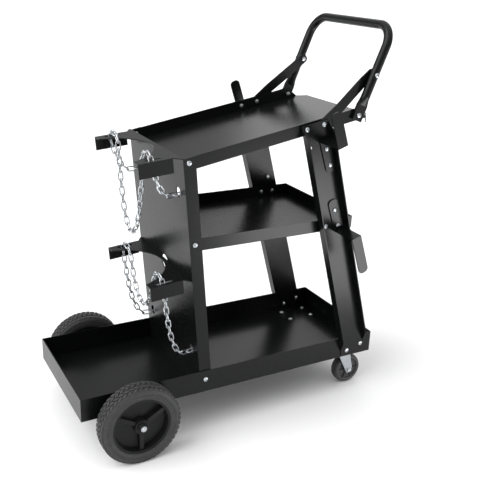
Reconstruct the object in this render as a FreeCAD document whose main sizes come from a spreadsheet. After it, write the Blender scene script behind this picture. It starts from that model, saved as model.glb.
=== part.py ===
import FreeCAD, Part
import math
import os
import re
import Sketcher

os.makedirs("parts", exist_ok=True)
doc = FreeCAD.newDocument("TorchCart")
V = FreeCAD.Vector

# ---------------------------------------------------------------- driving sizes (mm, degrees)
sheet = doc.addObject("Spreadsheet::Sheet", "Dim")
SIZES = [
    # sheet metal
    ("gauge", 2.0, "sheet thickness of every folded part"),
    ("bend_radius", 1.5, "outside radius of the folds"),
    # bottom tray: long platform that carries the bottles and the frame
    ("tray_length", 740.0, "bottom tray, overall length"),
    ("tray_width", 296.0, "bottom tray, overall width"),
    ("tray_lip", 53.0, "bottom tray, lip height"),
    ("deck_height", 100.0, "underside of the bottom tray above the ground"),
    # middle tray
    ("shelf_height", 437.5, "underside of the middle tray above the ground"),
    ("shelf_lip", 28.0, "middle tray, lip height"),
    ("shelf_front", 653.0, "middle tray, front face from the rear of the bottom tray"),
    ("fit_gap", 0.3, "small assembly gap between a tray end and the rear panel"),
    # top tray, tilted up toward the handle
    ("top_tilt", 10.6, "slope of the top tray"),
    ("top_height", 609.8, "rear bottom edge of the top tray above the ground"),
    ("top_lip", 26.6, "top tray, lip height"),
    ("top_length", 460.0, "top tray floor, length along the slope"),
    ("lip_end", 442.0, "where the side lips of the top tray run out"),
    ("lip_slant", 31.0, "length of the slanted end of those lips"),
    ("nose_chamfer", 20.0, "front corners of the top tray floor, cut length"),
    ("nose_skirt", 10.0, "fold-down at the front edge of the top tray"),
    # rear panel: a leaning channel, its back to the bottles
    ("panel_foot", 274.4, "rear face of the panel at deck level"),
    ("panel_lean", 5.25, "rearward lean of the panel"),
    ("panel_rise", 536.0, "length of the panel along its own slope"),
    ("panel_flange", 28.0, "depth of the side flanges"),
    ("chain_hole_radius", 11.0, "round holes that take the chain ends"),
    ("chain_hole_side", 110.0, "those holes from the middle plane"),
    ("upper_hole_rise", 459.0, "upper chain holes up the panel"),
    ("lower_hole_rise", 92.0, "lower chain holes up the panel"),
    ("pass_hole_radius", 18.0, "pass-through hole under the lower bracket"),
    ("pass_hole_drop", 8.0, "its centre below the lower bracket"),
    ("panel_bolt_inset", 12.5, "side bolts of the panel, from its back into the flange"),
    ("foot_bolt_rise", 28.0, "lowest side bolt up the panel"),
    ("top_bolt_lift", 3.0, "top side bolt above the middle of the top tray lip"),
    # bottle brackets
    ("arm_reach", 88.0, "reach of the bracket arms behind the panel"),
    ("arm_half_width", 130.0, "outer side of the arms from the middle plane"),
    ("arm_flange", 31.0, "fold-down along each arm"),
    ("cradle_radius", 109.0, "radius of the bottle cut-out"),
    ("cradle_centre", 118.0, "centre of the cut-out behind the panel"),
    ("slot_start", 34.0, "chain slot, near end behind the panel"),
    ("slot_end", 70.0, "chain slot, far end behind the panel"),
    ("slot_radius", 4.5, "chain slot, half width"),
    ("slot_side", 117.0, "chain slot from the middle plane"),
    ("lower_bracket_rise", 270.0, "lower bracket up the panel"),
    ("arm_shoulder", 12.0, "where the arms reach their full width behind the panel"),
    ("arm_root", 2.0, "where the arms start to widen"),
    # front legs: channels with their flanges outward
    ("leg_lean", 15.4, "rearward lean of the front legs"),
    ("leg_foot", 655.2, "rear bottom corner of the leg from the rear of the tray"),
    ("leg_foot_rise", 2.0, "leg end above the underside of the bottom tray"),
    ("leg_width", 68.0, "leg web, width"),
    ("leg_flange", 20.0, "leg flange, depth"),
    ("leg_top_gap", 3.0, "leg end below the top of the tray lip"),
    ("leg_taper_top", 28.0, "length over which the flanges run out at the top"),
    ("leg_taper_foot", 34.0, "length over which the flanges run out at the foot"),
    ("leg_hole_radius", 4.5, "spare hole in each leg"),
    ("leg_hole_inset", 12.0, "that hole from the rear edge"),
    ("leg_hole_drop", 54.0, "that hole below the leg end"),
    ("leg_bolt_near", 17.0, "foot and shelf bolts from the rear edge of the leg"),
    ("leg_bolt_far", 58.0, "second foot bolt from that edge"),
    ("leg_bolt_up", 11.0, "foot bolts above the leg end"),
    ("top_bolt_near", 12.0, "first top bolt from the rear edge of the leg"),
    ("top_bolt_far", 55.0, "second top bolt, shared with the handle brace"),
    ("top_bolt_drop", 11.0, "first top bolt below the leg end"),
    ("brace_bolt_drop", 14.0, "second top bolt below the leg end"),
    ("leg_bare_top", 2.0, "length at the top where the flanges are gone"),
    ("leg_bare_foot", 16.0, "length at the foot where the flanges are gone"),
    # cable hooks
    ("hook_width", 25.0, "width of the hook straps"),
    ("hook_gauge", 3.0, "thickness of the hook straps"),
    ("hook_reach", 70.0, "outward reach of the hooks"),
    ("hook_tab", 77.0, "length of the bolted end"),
    ("hook_bolt_pitch", 39.0, "distance between the two bolts of a hook"),
    ("upper_hook_bolt", 22.0, "first bolt of an upper hook from its fold"),
    ("lower_hook_bolt", 12.0, "first bolt of a lower hook from its fold"),
    ("upper_hook_plate", 75.0, "upright end of the upper hooks"),
    ("lower_hook_plate", 90.0, "hanging end of the lower hooks"),
    ("hook_turn", 3.5, "turn of the hooks against the leg"),
    ("upper_hook_rise", 557.0, "fold of the upper hooks up the leg"),
    ("hook_side_gap", 4.6, "hook fold clear of the front flange of the leg"),
    # handle
    ("tube_radius", 10.0, "handle tube, outer radius"),
    ("tube_wall", 1.5, "handle tube, wall"),
    ("tube_flat", 8.0, "thickness of the flattened tube ends"),
    ("handle_lean", 22.2, "forward lean of the handle"),
    ("handle_length", 201.0, "lower bolt to the middle of the grip bar, along the slope"),
    ("handle_corner", 46.0, "bend radius of the grip corners, on the tube axis"),
    ("flat_length", 22.0, "flattened length above the lower bolt"),
    ("flat_blend", 20.0, "length over which the tube turns flat"),
    ("brace_width", 22.0, "handle brace, width"),
    ("brace_rise", 92.0, "brace bolt on the tube, above the lower bolt along the tube"),
    ("brace_end", 11.0, "brace beyond its end bolts"),
    ("brace_straight", 26.0, "upper straight length of the brace"),
    ("brace_share", 0.30, "lower straight length, as a share of the bolt spacing"),
    ("handle_bolt_back", 24.6, "lower handle bolt, back from where the tray lips run out"),
    ("handle_bolt_up", 12.0, "lower handle bolt above the underside of the top tray"),
    ("tube_tail", 12.0, "flattened length below the lower bolt"),
    # wheels
    ("wheel_radius", 89.0, "rear wheel, outer radius"),
    ("wheel_width", 42.0, "rear wheel, tyre width"),
    ("wheel_gap", 13.0, "rear wheel, inner side from the tray lip"),
    ("axle_station", 113.6, "rear axle from the rear of the tray"),
    ("axle_radius", 6.5, "rear axle, radius"),
    ("running_gap", 0.05, "radial running clearance of a wheel on its axle"),
    ("axle_overhang", 7.0, "axle end beyond the outer side of a rear wheel"),
    ("side_gap", 0.5, "axial play between a rear hub and its collar"),
    ("boss_reach", 4.0, "hub boss beyond the inner side of the tyre"),
    ("boss_radius", 18.0, "hub boss where it meets the web"),
    ("rim_radius", 64.0, "inside of the tyre and outside of the hub"),
    ("rib_width", 9.0, "hub ribs"),
    ("web_half", 3.0, "hub web, half thickness"),
    ("collar_radius", 10.5, "axle collar, outer radius"),
    ("collar_width", 3.0, "axle collar"),
    ("cap_radius", 11.0, "push-on cap of the axle"),
    ("saddle_side", 128.0, "axle saddles from the middle plane"),
    ("saddle_length", 60.0, "axle saddles, along the cart"),
    ("saddle_foot", 24.0, "axle saddles, width of the foot under the tray"),
    ("saddle_gauge", 3.0, "axle saddles, plate thickness"),
    ("saddle_edge", 8.0, "axle saddles below the axle"),
    ("saddle_gap", 0.1, "axle in its saddles, radial clearance"),
    ("caster_radius", 38.0, "front caster wheel, outer radius"),
    ("caster_width", 25.0, "front caster wheel, width"),
    ("caster_station", 684.5, "caster kingpin from the rear of the tray"),
    ("caster_side", 103.0, "caster kingpin from the middle plane"),
    ("caster_trail", 21.5, "caster axle ahead of the kingpin"),
    ("caster_bolt_length", 66.0, "caster plate bolts, spacing along the cart"),
    ("caster_bolt_width", 45.0, "caster plate bolts, spacing across the cart"),
    ("caster_edge", 9.0, "caster plate beyond its bolts"),
    ("caster_corner", 6.0, "caster plate, corner radius"),
    ("caster_gauge", 3.0, "caster plate and fork crown, thickness"),
    ("kingpin_radius", 5.0, "caster kingpin"),
    ("fork_gauge", 2.5, "cheeks of the caster fork"),
    ("fork_gap", 2.0, "cheek clear of the side of the caster wheel"),
    ("caster_axle_radius", 3.95, "caster axle"),
    # fasteners
    ("screw_radius", 3.0, "screw shank"),
    ("screw_play", 0.2, "radial play of a screw in its hole"),
    ("head_radius", 6.0, "pan head"),
    ("head_height", 3.4, "pan head"),
    ("nut_radius", 5.5, "nut, across corners, half"),
    ("nut_height", 4.5, "nut"),
    ("screw_tail", 1.5, "screw end beyond its nut"),
    ("spacer_radius", 8.0, "spacers between the legs and the upper trays"),
    # chains
    ("wire_radius", 1.45, "chain link wire"),
    ("link_slack", 1.2, "play between two links, along the chain"),
    ("slot_link_out", 55.0, "where the chain comes up through an arm slot"),
    ("chain_pin_radius", 2.0, "pin that holds a chain end behind the panel"),
    ("chain_pin_length", 30.0, "that pin, longer than the hole is wide"),
    ("chain_pin_gap", 0.4, "that pin clear of the panel"),
    ("chain_pin_drop", 4.0, "chain end below the centre of its hole"),
    ("chain_pin_out", 1.6, "middle of the last link behind the panel"),
    ("link_length", 23.4, "chain link, outer length"),
    ("link_width", 12.6, "chain link, outer width"),
]
DERIVED = [
    ("screw_hole", "screw_radius + screw_play", "clearance hole of a screw"),
    ("lip_inside", "tray_width / 2 - gauge", "inner face of the bottom tray lip"),
    ("shelf_half", "tray_width / 2 - 2 * gauge", "outer face of the upper trays"),
    ("brace_gauge", "2 * gauge", "fills the space between tray lip and leg"),
    ("middle", "(caster_station + caster_trail + caster_radius) / 2", "half of the overall length"),
    ("leg_face", "tray_width / 2", "inner face of the leg web"),
    ("leg_out", "tray_width / 2 + gauge", "outer face of the leg web"),
    ("panel_slope", "tan(panel_lean)", "rearward shift of the panel per unit of height"),
    ("panel_skin", "gauge / cos(panel_lean)", "web thickness measured level"),
    ("panel_top", "deck_height + gauge + panel_rise * cos(panel_lean)", "web top above the ground"),
    ("shelf_rear", "panel_foot - panel_slope * (shelf_height - deck_height - gauge) + panel_skin"
                   " + fit_gap", "rear face of the middle tray"),
    ("top_rear", "panel_foot - panel_slope * (top_height + top_lip * cos(top_tilt) - deck_height"
                 " - gauge) + panel_skin + fit_gap + top_lip * sin(top_tilt)",
     "rear bottom edge of the top tray"),
    ("leg_base", "deck_height + leg_foot_rise", "leg end above the ground"),
    ("lip_at_leg", "top_height + top_lip * cos(top_tilt) + (leg_foot - top_rear + top_lip"
                   " * sin(top_tilt)) * tan(top_tilt)", "lip top line carried to the leg foot"),
    ("leg_length", "(lip_at_leg - leg_base) / (cos(leg_lean) + sin(leg_lean) * tan(top_tilt))"
                   " - leg_top_gap", "rear edge of the leg"),
    ("leg_top_drop", "leg_width * tan(leg_lean - top_tilt)", "front edge shorter by"),
    ("leg_foot_drop", "leg_width * tan(leg_lean)", "front edge reaches lower by"),
    ("hook_line", "leg_width - gauge - hook_width / 2 - hook_side_gap", "hook centre line on the leg"),
    ("lower_hook_rise", "(shelf_height + shelf_lip / 2 - leg_base - (hook_line - lower_hook_bolt"
                        " * sin(hook_turn)) * sin(leg_lean)) / cos(leg_lean) - lower_hook_bolt"
                        " * cos(hook_turn)", "fold of the lower hooks: first bolt in the middle tray lip"),
    ("wheel_inner", "tray_width / 2 + wheel_gap", "inner side of a rear wheel"),
    ("wheel_outer", "tray_width / 2 + wheel_gap + wheel_width", "outer side of a rear wheel"),
    ("tube_side", "shelf_half + tube_flat / 2", "handle tube axis from the middle plane"),
]
for row, (name, value, note) in enumerate(SIZES + DERIVED, start=1):
    sheet.set(f"A{row}", name)
    sheet.set(f"B{row}", f"={value}" if isinstance(value, str) else str(value))
    sheet.setAlias(f"B{row}", name)
    sheet.set(f"C{row}", note)
ALIASES = [name for name, _, _ in SIZES + DERIVED]
for row, (name, value, note) in enumerate(SIZES + DERIVED, start=1):
    if isinstance(value, str):
        text = re.sub(r"(tan|cos|sin)\(([^()]*)\)", r"\1((\2) * 1deg)", value)
        sheet.set(f"B{row}", f"={text}")
doc.recompute()


def size(name):
    """Value of one sheet cell as a plain number."""
    value = getattr(sheet, name)
    return float(getattr(value, "Value", value))


def bound(text):
    """Turn a formula of sheet names into an expression on the sheet."""
    return re.sub(r"[a-z_]{3,}", lambda m: "Dim." + m.group(0) if m.group(0) in ALIASES else m.group(0), text)


def number(text):
    """Value of a formula of sheet names, for placing geometry before it is constrained."""
    return float(getattr(doc.Dim.evalExpression(bound(str(text))), "Value",
                         doc.Dim.evalExpression(bound(str(text)))))


# ---------------------------------------------------------------- helpers
def body(label, base=("0", "0", "0"), lean="0", axis=V(0, 1, 0)):
    """A PartDesign body placed by sheet formulas; lean turns it about an axis."""
    item = doc.addObject("PartDesign::Body", label)
    item.Label = label
    item.Placement = FreeCAD.Placement(V(0, 0, 0), FreeCAD.Rotation(axis, 1.0))
    for letter, formula in zip("xyz", base):
        item.setExpression(f"Placement.Base.{letter}", bound(formula))
    item.setExpression("Placement.Rotation.Angle", bound(lean))
    return item


def sketch(item, plane, offset=None):
    """A sketch on one of the body's own origin planes."""
    flat = [f for f in item.Origin.OriginFeatures if f.Role == plane][0]
    made = item.newObject("Sketcher::SketchObject", item.Label + "_sketch")
    made.AttachmentSupport = [(flat, "")]
    made.MapMode = "FlatFace"
    if offset is not None:
        made.setExpression("AttachmentOffset.Base.z", bound(offset))
    return made


def pin_point(drawing, geometry, place, x, y):
    """Hold one point of a sketch at two sheet formulas."""
    for kind, formula in (("DistanceX", x), ("DistanceY", y)):
        index = drawing.addConstraint(Sketcher.Constraint(kind, -1, 1, geometry, place, number(formula)))
        drawing.setExpression(f"Constraints[{index}]", bound(str(formula)))


def polygon(item, plane, points, offset=None):
    """A closed outline; every corner is held by sheet formulas."""
    drawing = sketch(item, plane, offset)
    spots = [V(number(x), number(y), 0) for x, y in points]
    count = len(spots)
    for i in range(count):
        drawing.addGeometry(Part.LineSegment(spots[i], spots[(i + 1) % count]), False)
    for i in range(count):
        drawing.addConstraint(Sketcher.Constraint("Coincident", i, 2, (i + 1) % count, 1))
    for i, (x, y) in enumerate(points):
        pin_point(drawing, i, 1, x, y)
    return drawing


def circles(item, plane, holes, offset=None):
    """Circles given as (x, y, radius) formulas."""
    drawing = sketch(item, plane, offset)
    for i, (x, y, radius) in enumerate(holes):
        drawing.addGeometry(Part.Circle(V(number(x), number(y), 0), V(0, 0, 1), number(radius)), False)
        pin_point(drawing, i, 3, x, y)
        index = drawing.addConstraint(Sketcher.Constraint("Radius", i, number(radius)))
        drawing.setExpression(f"Constraints[{index}]", bound(str(radius)))
    return drawing


def pad(item, profile, length, symmetric=False, reverse=False):
    made = item.newObject("PartDesign::Pad", item.Label + "_pad")
    made.Profile = profile
    made.setExpression("Length", bound(length))
    made.SideType = "Symmetric" if symmetric else "One side"
    made.Reversed = reverse
    profile.Visibility = False
    return made


def pocket(item, profile, length=None, symmetric=False, reverse=False):
    made = item.newObject("PartDesign::Pocket", item.Label + "_pocket")
    made.Profile = profile
    if length is None:
        made.Type = "ThroughAll"
    else:
        made.setExpression("Length", bound(length))
    made.SideType = "Symmetric" if symmetric else "One side"
    made.Reversed = reverse
    return made


def fillet(item, test, radius):
    """Round the edges of the body that pass a test on their two end points."""
    doc.recompute()
    last = item.Tip
    names = []
    for i, edge in enumerate(last.Shape.Edges, start=1):
        ends = [v.Point for v in edge.Vertexes]
        if len(ends) == 2 and test(ends[0], ends[1]):
            names.append(f"Edge{i}")
    if not names:
        raise RuntimeError(item.Label + ": no edge to round")
    made = item.newObject("PartDesign::Fillet", item.Label + "_round")
    made.Base = (last, names)
    made.setExpression("Radius", bound(radius))
    return made


def near(a, b, slack=0.01):
    return abs(a - b) < slack


# ---------------------------------------------------------------- bottom tray
tray = body("bottom_tray", ("-middle", "0", "deck_height"))
pad(tray, polygon(tray, "XY_Plane", [
    ("0", "-tray_width / 2"), ("tray_length", "-tray_width / 2"),
    ("tray_length", "tray_width / 2"), ("0", "tray_width / 2")]), "tray_lip")
pocket(tray, polygon(tray, "XY_Plane", [
    ("gauge", "-lip_inside"), ("tray_length - gauge", "-lip_inside"),
    ("tray_length - gauge", "lip_inside"), ("gauge", "lip_inside")], "gauge"),
    "tray_lip", reverse=True)
fillet(tray, lambda a, b: near(a.z, 0) and near(b.z, 0) and a.sub(b).Length > 50, "bend_radius")
LEG_FOOT_HOLES = [("leg_bolt_near", "leg_bolt_up"), ("leg_bolt_far", "leg_bolt_up")]


def leg_x(u, w):
    """Level position of a point of the leg, from the rear of the tray."""
    return f"leg_foot + ({u}) * cos(leg_lean * 1deg) - ({w}) * sin(leg_lean * 1deg)"


def leg_z(u, w):
    """Height of a point of the leg above the ground."""
    return f"leg_base + ({u}) * sin(leg_lean * 1deg) + ({w}) * cos(leg_lean * 1deg)"


def panel_x(rise, inward="0"):
    """Level position of a point of the rear panel, from the rear of the tray."""
    return f"panel_foot - ({rise}) * sin(panel_lean * 1deg) + ({inward}) * cos(panel_lean * 1deg)"


def panel_z(rise, inward="0"):
    return f"deck_height + gauge + ({rise}) * cos(panel_lean * 1deg) + ({inward}) * sin(panel_lean * 1deg)"


PANEL_BOLT_INSET = "panel_bolt_inset"
FOOT_BOLT_RISE = "foot_bolt_rise"
SHELF_BOLT_RISE = "(shelf_height + shelf_lip / 2 - deck_height - gauge) / cos(panel_lean * 1deg)"
TOP_BOLT_RISE = "(top_height + top_lip / 2 + top_bolt_lift - deck_height - gauge) / cos(panel_lean * 1deg)"
pocket(tray, circles(tray, "XZ_Plane", [
    (panel_x(FOOT_BOLT_RISE, PANEL_BOLT_INSET),
     panel_z(FOOT_BOLT_RISE, PANEL_BOLT_INSET) + " - deck_height", "screw_hole")] + [
    (leg_x(u, w), leg_z(u, w) + " - deck_height", "screw_hole") for u, w in LEG_FOOT_HOLES]),
    symmetric=True)
CASTER_BOLTS = [(f"caster_station {a} caster_bolt_length / 2", f"{b}caster_side {c} caster_bolt_width / 2")
                for a in "+-" for b in ("", "-") for c in "+-"]
pocket(tray, circles(tray, "XY_Plane", [(x, y, "screw_hole") for x, y in CASTER_BOLTS]),
       "3 * gauge", symmetric=True)

# ---------------------------------------------------------------- middle tray
shelf = body("middle_tray", ("-middle", "0", "shelf_height"))
pad(shelf, polygon(shelf, "XY_Plane", [
    ("shelf_rear", "-shelf_half"), ("shelf_front", "-shelf_half"),
    ("shelf_front", "shelf_half"), ("shelf_rear", "shelf_half")]), "shelf_lip")
pocket(shelf, polygon(shelf, "XY_Plane", [
    ("shelf_rear + gauge", "-shelf_half + gauge"), ("shelf_front - gauge", "-shelf_half + gauge"),
    ("shelf_front - gauge", "shelf_half - gauge"), ("shelf_rear + gauge", "shelf_half - gauge")],
    "gauge"), "shelf_lip", reverse=True)
fillet(shelf, lambda a, b: near(a.z, 0) and near(b.z, 0) and a.sub(b).Length > 50, "bend_radius")
UPPER_BOLTS = ("upper_hook_bolt", "(upper_hook_bolt + hook_bolt_pitch)")
LOWER_BOLTS = ("lower_hook_bolt", "(lower_hook_bolt + hook_bolt_pitch)")


def hook_point(rise, down):
    """A point on the hook centre line, down the tab from the fold, in the frame of the leg."""
    return (f"hook_line + ({down}) * sin(hook_turn * 1deg)", f"{rise} - ({down}) * cos(hook_turn * 1deg)")


UPPER_HOOK_HOLES = [hook_point("upper_hook_rise", d) for d in UPPER_BOLTS]
LOWER_HOOK_HOLES = [hook_point("lower_hook_rise", "-" + d) for d in LOWER_BOLTS]
LEG_HOOK_HOLES = UPPER_HOOK_HOLES + LOWER_HOOK_HOLES

SHELF_LEG_HOLE = ("leg_bolt_near", "(shelf_height + shelf_lip / 2 - leg_base - leg_bolt_near"
                                   " * sin(leg_lean * 1deg)) / cos(leg_lean * 1deg)")
pocket(shelf, circles(shelf, "XZ_Plane", [
    (panel_x(SHELF_BOLT_RISE, PANEL_BOLT_INSET),
     panel_z(SHELF_BOLT_RISE, PANEL_BOLT_INSET) + " - shelf_height", "screw_hole"),
    (leg_x(*SHELF_LEG_HOLE), leg_z(*SHELF_LEG_HOLE) + " - shelf_height", "screw_hole"),
    (leg_x(*LOWER_HOOK_HOLES[0]), leg_z(*LOWER_HOOK_HOLES[0]) + " - shelf_height", "screw_hole")]),
    symmetric=True)

# ---------------------------------------------------------------- top tray (drawn level, then tilted)
top = body("top_tray", ("top_rear - middle", "0", "top_height"), "-top_tilt")
pad(top, polygon(top, "XY_Plane", [
    ("0", "-shelf_half"), ("top_length - nose_chamfer", "-shelf_half"),
    ("top_length", "-shelf_half + 1.2 * nose_chamfer"), ("top_length", "shelf_half - 1.2 * nose_chamfer"),
    ("top_length - nose_chamfer", "shelf_half"), ("0", "shelf_half")]), "gauge")
pad(top, polygon(top, "XZ_Plane", [
    ("0", "0"), ("lip_end - 4", "0"), ("lip_end", "gauge"), ("lip_end - lip_slant / 2", "top_lip * 0.72"),
    ("lip_end - lip_slant", "top_lip + 1"), ("lip_end - 1.6 * lip_slant", "top_lip"),
    ("0", "top_lip")]), "2 * shelf_half", symmetric=True)
pocket(top, polygon(top, "XZ_Plane", [
    ("gauge", "gauge"), ("top_length + 10", "gauge"), ("top_length + 10", "2 * top_lip"),
    ("gauge", "2 * top_lip")]), "2 * (shelf_half - gauge)", symmetric=True)
pad(top, polygon(top, "XY_Plane", [
    ("top_length - nose_chamfer - 1.1 * gauge", "-shelf_half"), ("top_length - nose_chamfer", "-shelf_half"),
    ("top_length", "-shelf_half + 1.2 * nose_chamfer"), ("top_length", "shelf_half - 1.2 * nose_chamfer"),
    ("top_length - nose_chamfer", "shelf_half"), ("top_length - nose_chamfer - 1.1 * gauge", "shelf_half"),
    ("top_length - 1.1 * gauge", "shelf_half - 1.2 * nose_chamfer"),
    ("top_length - 1.1 * gauge", "-shelf_half + 1.2 * nose_chamfer")]), "nose_skirt", reverse=True)


def on_top(x, z):
    """Level position and height of a point given in the tilted frame of the top tray."""
    return (f"top_rear + ({x}) * cos(top_tilt * 1deg) - ({z}) * sin(top_tilt * 1deg)",
            f"top_height + ({x}) * sin(top_tilt * 1deg) + ({z}) * cos(top_tilt * 1deg)")


def in_top(x, z):
    """The reverse: position in the tilted frame of a point given level and above the ground."""
    return (f"(({x}) - top_rear) * cos(top_tilt * 1deg) + (({z}) - top_height) * sin(top_tilt * 1deg)",
            f"-(({x}) - top_rear) * sin(top_tilt * 1deg) + (({z}) - top_height) * cos(top_tilt * 1deg)")


LEG_TOP_HOLES = [("top_bolt_near", "leg_length - top_bolt_drop"), ("top_bolt_far", "leg_length - brace_bolt_drop")]
HANDLE_BOLT = ("lip_end - handle_bolt_back", "handle_bolt_up")
TOP_HOLES = [in_top(leg_x(u, w), leg_z(u, w)) for u, w in LEG_TOP_HOLES]
TOP_HOLES.append(in_top(panel_x(TOP_BOLT_RISE, PANEL_BOLT_INSET), panel_z(TOP_BOLT_RISE, PANEL_BOLT_INSET)))
TOP_HOLES.append(HANDLE_BOLT)
pocket(top, circles(top, "XZ_Plane", [(x, z, "screw_hole") for x, z in TOP_HOLES]), symmetric=True)

# ---------------------------------------------------------------- rear panel (drawn level on the ground frame)
panel = body("rear_panel", ("-middle", "0", "0"))
FLANGE_TOP = "panel_top + panel_flange * tan(top_tilt * 1deg)"
pad(panel, polygon(panel, "XZ_Plane", [
    ("panel_foot", "deck_height + gauge"), ("panel_foot + panel_flange", "deck_height + gauge"),
    ("panel_foot + panel_flange - panel_slope * (" + FLANGE_TOP + " - deck_height - gauge)", FLANGE_TOP),
    (panel_x("panel_rise", "gauge"), panel_z("panel_rise", "gauge")),
    (panel_x("panel_rise"), panel_z("panel_rise"))]),
    "2 * lip_inside", symmetric=True)
pocket(panel, polygon(panel, "XZ_Plane", [
    ("panel_foot + panel_skin + panel_slope * 50", "deck_height + gauge - 50"),
    ("panel_foot + 3 * panel_flange", "deck_height + gauge - 50"),
    ("panel_foot + 3 * panel_flange", "panel_top + 100"),
    ("panel_foot + panel_skin - panel_slope * (panel_top + 100 - deck_height - gauge)", "panel_top + 100")]),
    "2 * (lip_inside - gauge)", symmetric=True)
pocket(panel, circles(panel, "XZ_Plane", [
    (panel_x(rise, PANEL_BOLT_INSET), panel_z(rise, PANEL_BOLT_INSET), "screw_hole")
    for rise in (FOOT_BOLT_RISE, SHELF_BOLT_RISE, TOP_BOLT_RISE)]), symmetric=True)
CHAIN_HOLES = [(f"{side}chain_hole_side", panel_z(rise), "chain_hole_radius")
               for rise in ("upper_hole_rise", "lower_hole_rise") for side in ("", "-")]
pocket(panel, circles(panel, "YZ_Plane", CHAIN_HOLES + [
    ("0", panel_z("lower_bracket_rise - pass_hole_drop"), "pass_hole_radius")]), symmetric=True)


# ---------------------------------------------------------------- bottle brackets
def bottle_bracket(label, rise):
    """Plate square to the panel, with two arms, a bottle cut-out, slots and folded arm edges."""
    item = body(label, (panel_x(rise) + " - middle", "0", panel_z(rise)), "-180 - panel_lean")
    inner = "-gauge" if label.startswith("upper") else "0"
    pad(item, polygon(item, "XY_Plane", [
        (inner, "-lip_inside"), ("arm_root", "-lip_inside"), ("arm_shoulder", "-arm_half_width"),
        ("arm_reach", "-arm_half_width"), ("arm_reach", "arm_half_width"),
        ("arm_shoulder", "arm_half_width"), ("arm_root", "lip_inside"), (inner, "lip_inside")],
        "-gauge"), "gauge")
    for side in (1, -1):
        outer = "arm_half_width" if side > 0 else "-arm_half_width"
        inside = f"{outer} - ({side}) * gauge"
        pad(item, polygon(item, "XY_Plane", [
            ("arm_shoulder + gauge", outer), ("arm_reach", outer), ("arm_reach", inside),
            ("arm_shoulder + gauge", inside)],
            "-gauge"), "arm_flange")
    pocket(item, circles(item, "XY_Plane", [("cradle_centre", "0", "cradle_radius")]), symmetric=True)
    for side in ("", "-"):
        pocket(item, polygon(item, "XY_Plane", [
            ("slot_start + slot_radius", f"{side}slot_side - slot_radius"),
            ("slot_end - slot_radius", f"{side}slot_side - slot_radius"),
            ("slot_end - slot_radius", f"{side}slot_side + slot_radius"),
            ("slot_start + slot_radius", f"{side}slot_side + slot_radius")]), "6 * gauge", symmetric=True)
        for end in ("slot_start + slot_radius", "slot_end - slot_radius"):
            pocket(item, circles(item, "XY_Plane", [(end, f"{side}slot_side", "slot_radius")]),
                   "6 * gauge", symmetric=True)
    return item


bottle_bracket("upper_bottle_bracket", "panel_rise")
bottle_bracket("lower_bottle_bracket", "lower_bracket_rise")


# ---------------------------------------------------------------- front legs
def front_leg(label, side):
    """Channel with its web against the trays and its flanges outward."""
    sign = "" if side > 0 else "-"
    item = body(label, ("leg_foot - middle", sign + "leg_face", "leg_base"), "-leg_lean")
    outline = [("0", "0"), ("leg_width", "-leg_foot_drop"), ("leg_width", "leg_length - leg_top_drop"),
               ("0", "leg_length")]
    pad(item, polygon(item, "XZ_Plane", outline), "gauge + leg_flange", reverse=side > 0)
    inset = [("gauge", "-2 * leg_foot_drop"), ("leg_width - gauge", "-2 * leg_foot_drop"),
             ("leg_width - gauge", "2 * leg_length"), ("gauge", "2 * leg_length")]
    pocket(item, polygon(item, "XZ_Plane", inset, ("-" if side > 0 else "") + "gauge"),
           "2 * leg_flange", reverse=side < 0)
    # flanges run out to nothing at both ends
    pocket(item, polygon(item, "YZ_Plane", [
        (sign + "gauge", "leg_length - leg_top_drop - leg_bare_top"),
        (sign + "(gauge + leg_flange + 1)", "leg_length - leg_top_drop - leg_bare_top - leg_taper_top"),
        (sign + "(gauge + leg_flange + 1)", "leg_length + 20"), (sign + "gauge", "leg_length + 20")]),
        symmetric=True)
    pocket(item, polygon(item, "YZ_Plane", [
        (sign + "gauge", "leg_bare_foot"), (sign + "(gauge + leg_flange + 1)", "leg_bare_foot + leg_taper_foot"),
        (sign + "(gauge + leg_flange + 1)", "-leg_foot_drop - 20"),
        (sign + "gauge", "-leg_foot_drop - 20")]), symmetric=True)
    holes = LEG_FOOT_HOLES + LEG_TOP_HOLES + [SHELF_LEG_HOLE] + LEG_HOOK_HOLES
    pocket(item, circles(item, "XZ_Plane", [(u, w, "screw_hole") for u, w in holes]
                         + [("leg_hole_inset", "leg_length - leg_hole_drop", "leg_hole_radius")]), symmetric=True)
    return item


front_leg("front_leg_left", 1)
front_leg("front_leg_right", -1)


# ---------------------------------------------------------------- cable hooks
def cable_hook(label, side, upper):
    """Z-shaped strap: a bolted tab, an outward arm and an upright or hanging end."""
    sign = "" if side > 0 else "-"
    rise = "upper_hook_rise" if upper else "lower_hook_rise"
    up, down = ("", "-") if upper else ("-", "")
    plate = "upper_hook_plate" if upper else "lower_hook_plate"
    item = body(label, (leg_x("hook_line", rise) + " - middle", sign + "leg_out", leg_z("hook_line", rise)),
                "-leg_lean - hook_turn")
    profile = [("0", "0"), ("0", down + "hook_tab"), ("hook_gauge", down + "hook_tab"),
               ("hook_gauge", down + "hook_gauge"), ("hook_reach", down + "hook_gauge"),
               ("hook_reach", up + plate), ("hook_reach - hook_gauge", up + plate),
               ("hook_reach - hook_gauge", "0")]
    pad(item, polygon(item, "YZ_Plane", [(sign + "(" + y + ")", z) for y, z in profile]),
        "hook_width", symmetric=True)
    fillet(item, lambda a, b: near(a.x, b.x, 100) and near(a.z, b.z) and not near(a.y, b.y)
           and near(abs(a.sub(b).y), size("hook_gauge")) and abs(a.z) > 40, "hook_width * 0.4")
    bolts = UPPER_BOLTS if upper else LOWER_BOLTS
    pocket(item, circles(item, "XZ_Plane", [("0", down + d, "screw_hole") for d in bolts]),
           "4 * hook_gauge", symmetric=True)
    return item


for side_name, side in (("left", 1), ("right", -1)):
    cable_hook("upper_cable_hook_" + side_name, side, True)
    cable_hook("lower_cable_hook_" + side_name, side, False)

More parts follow.
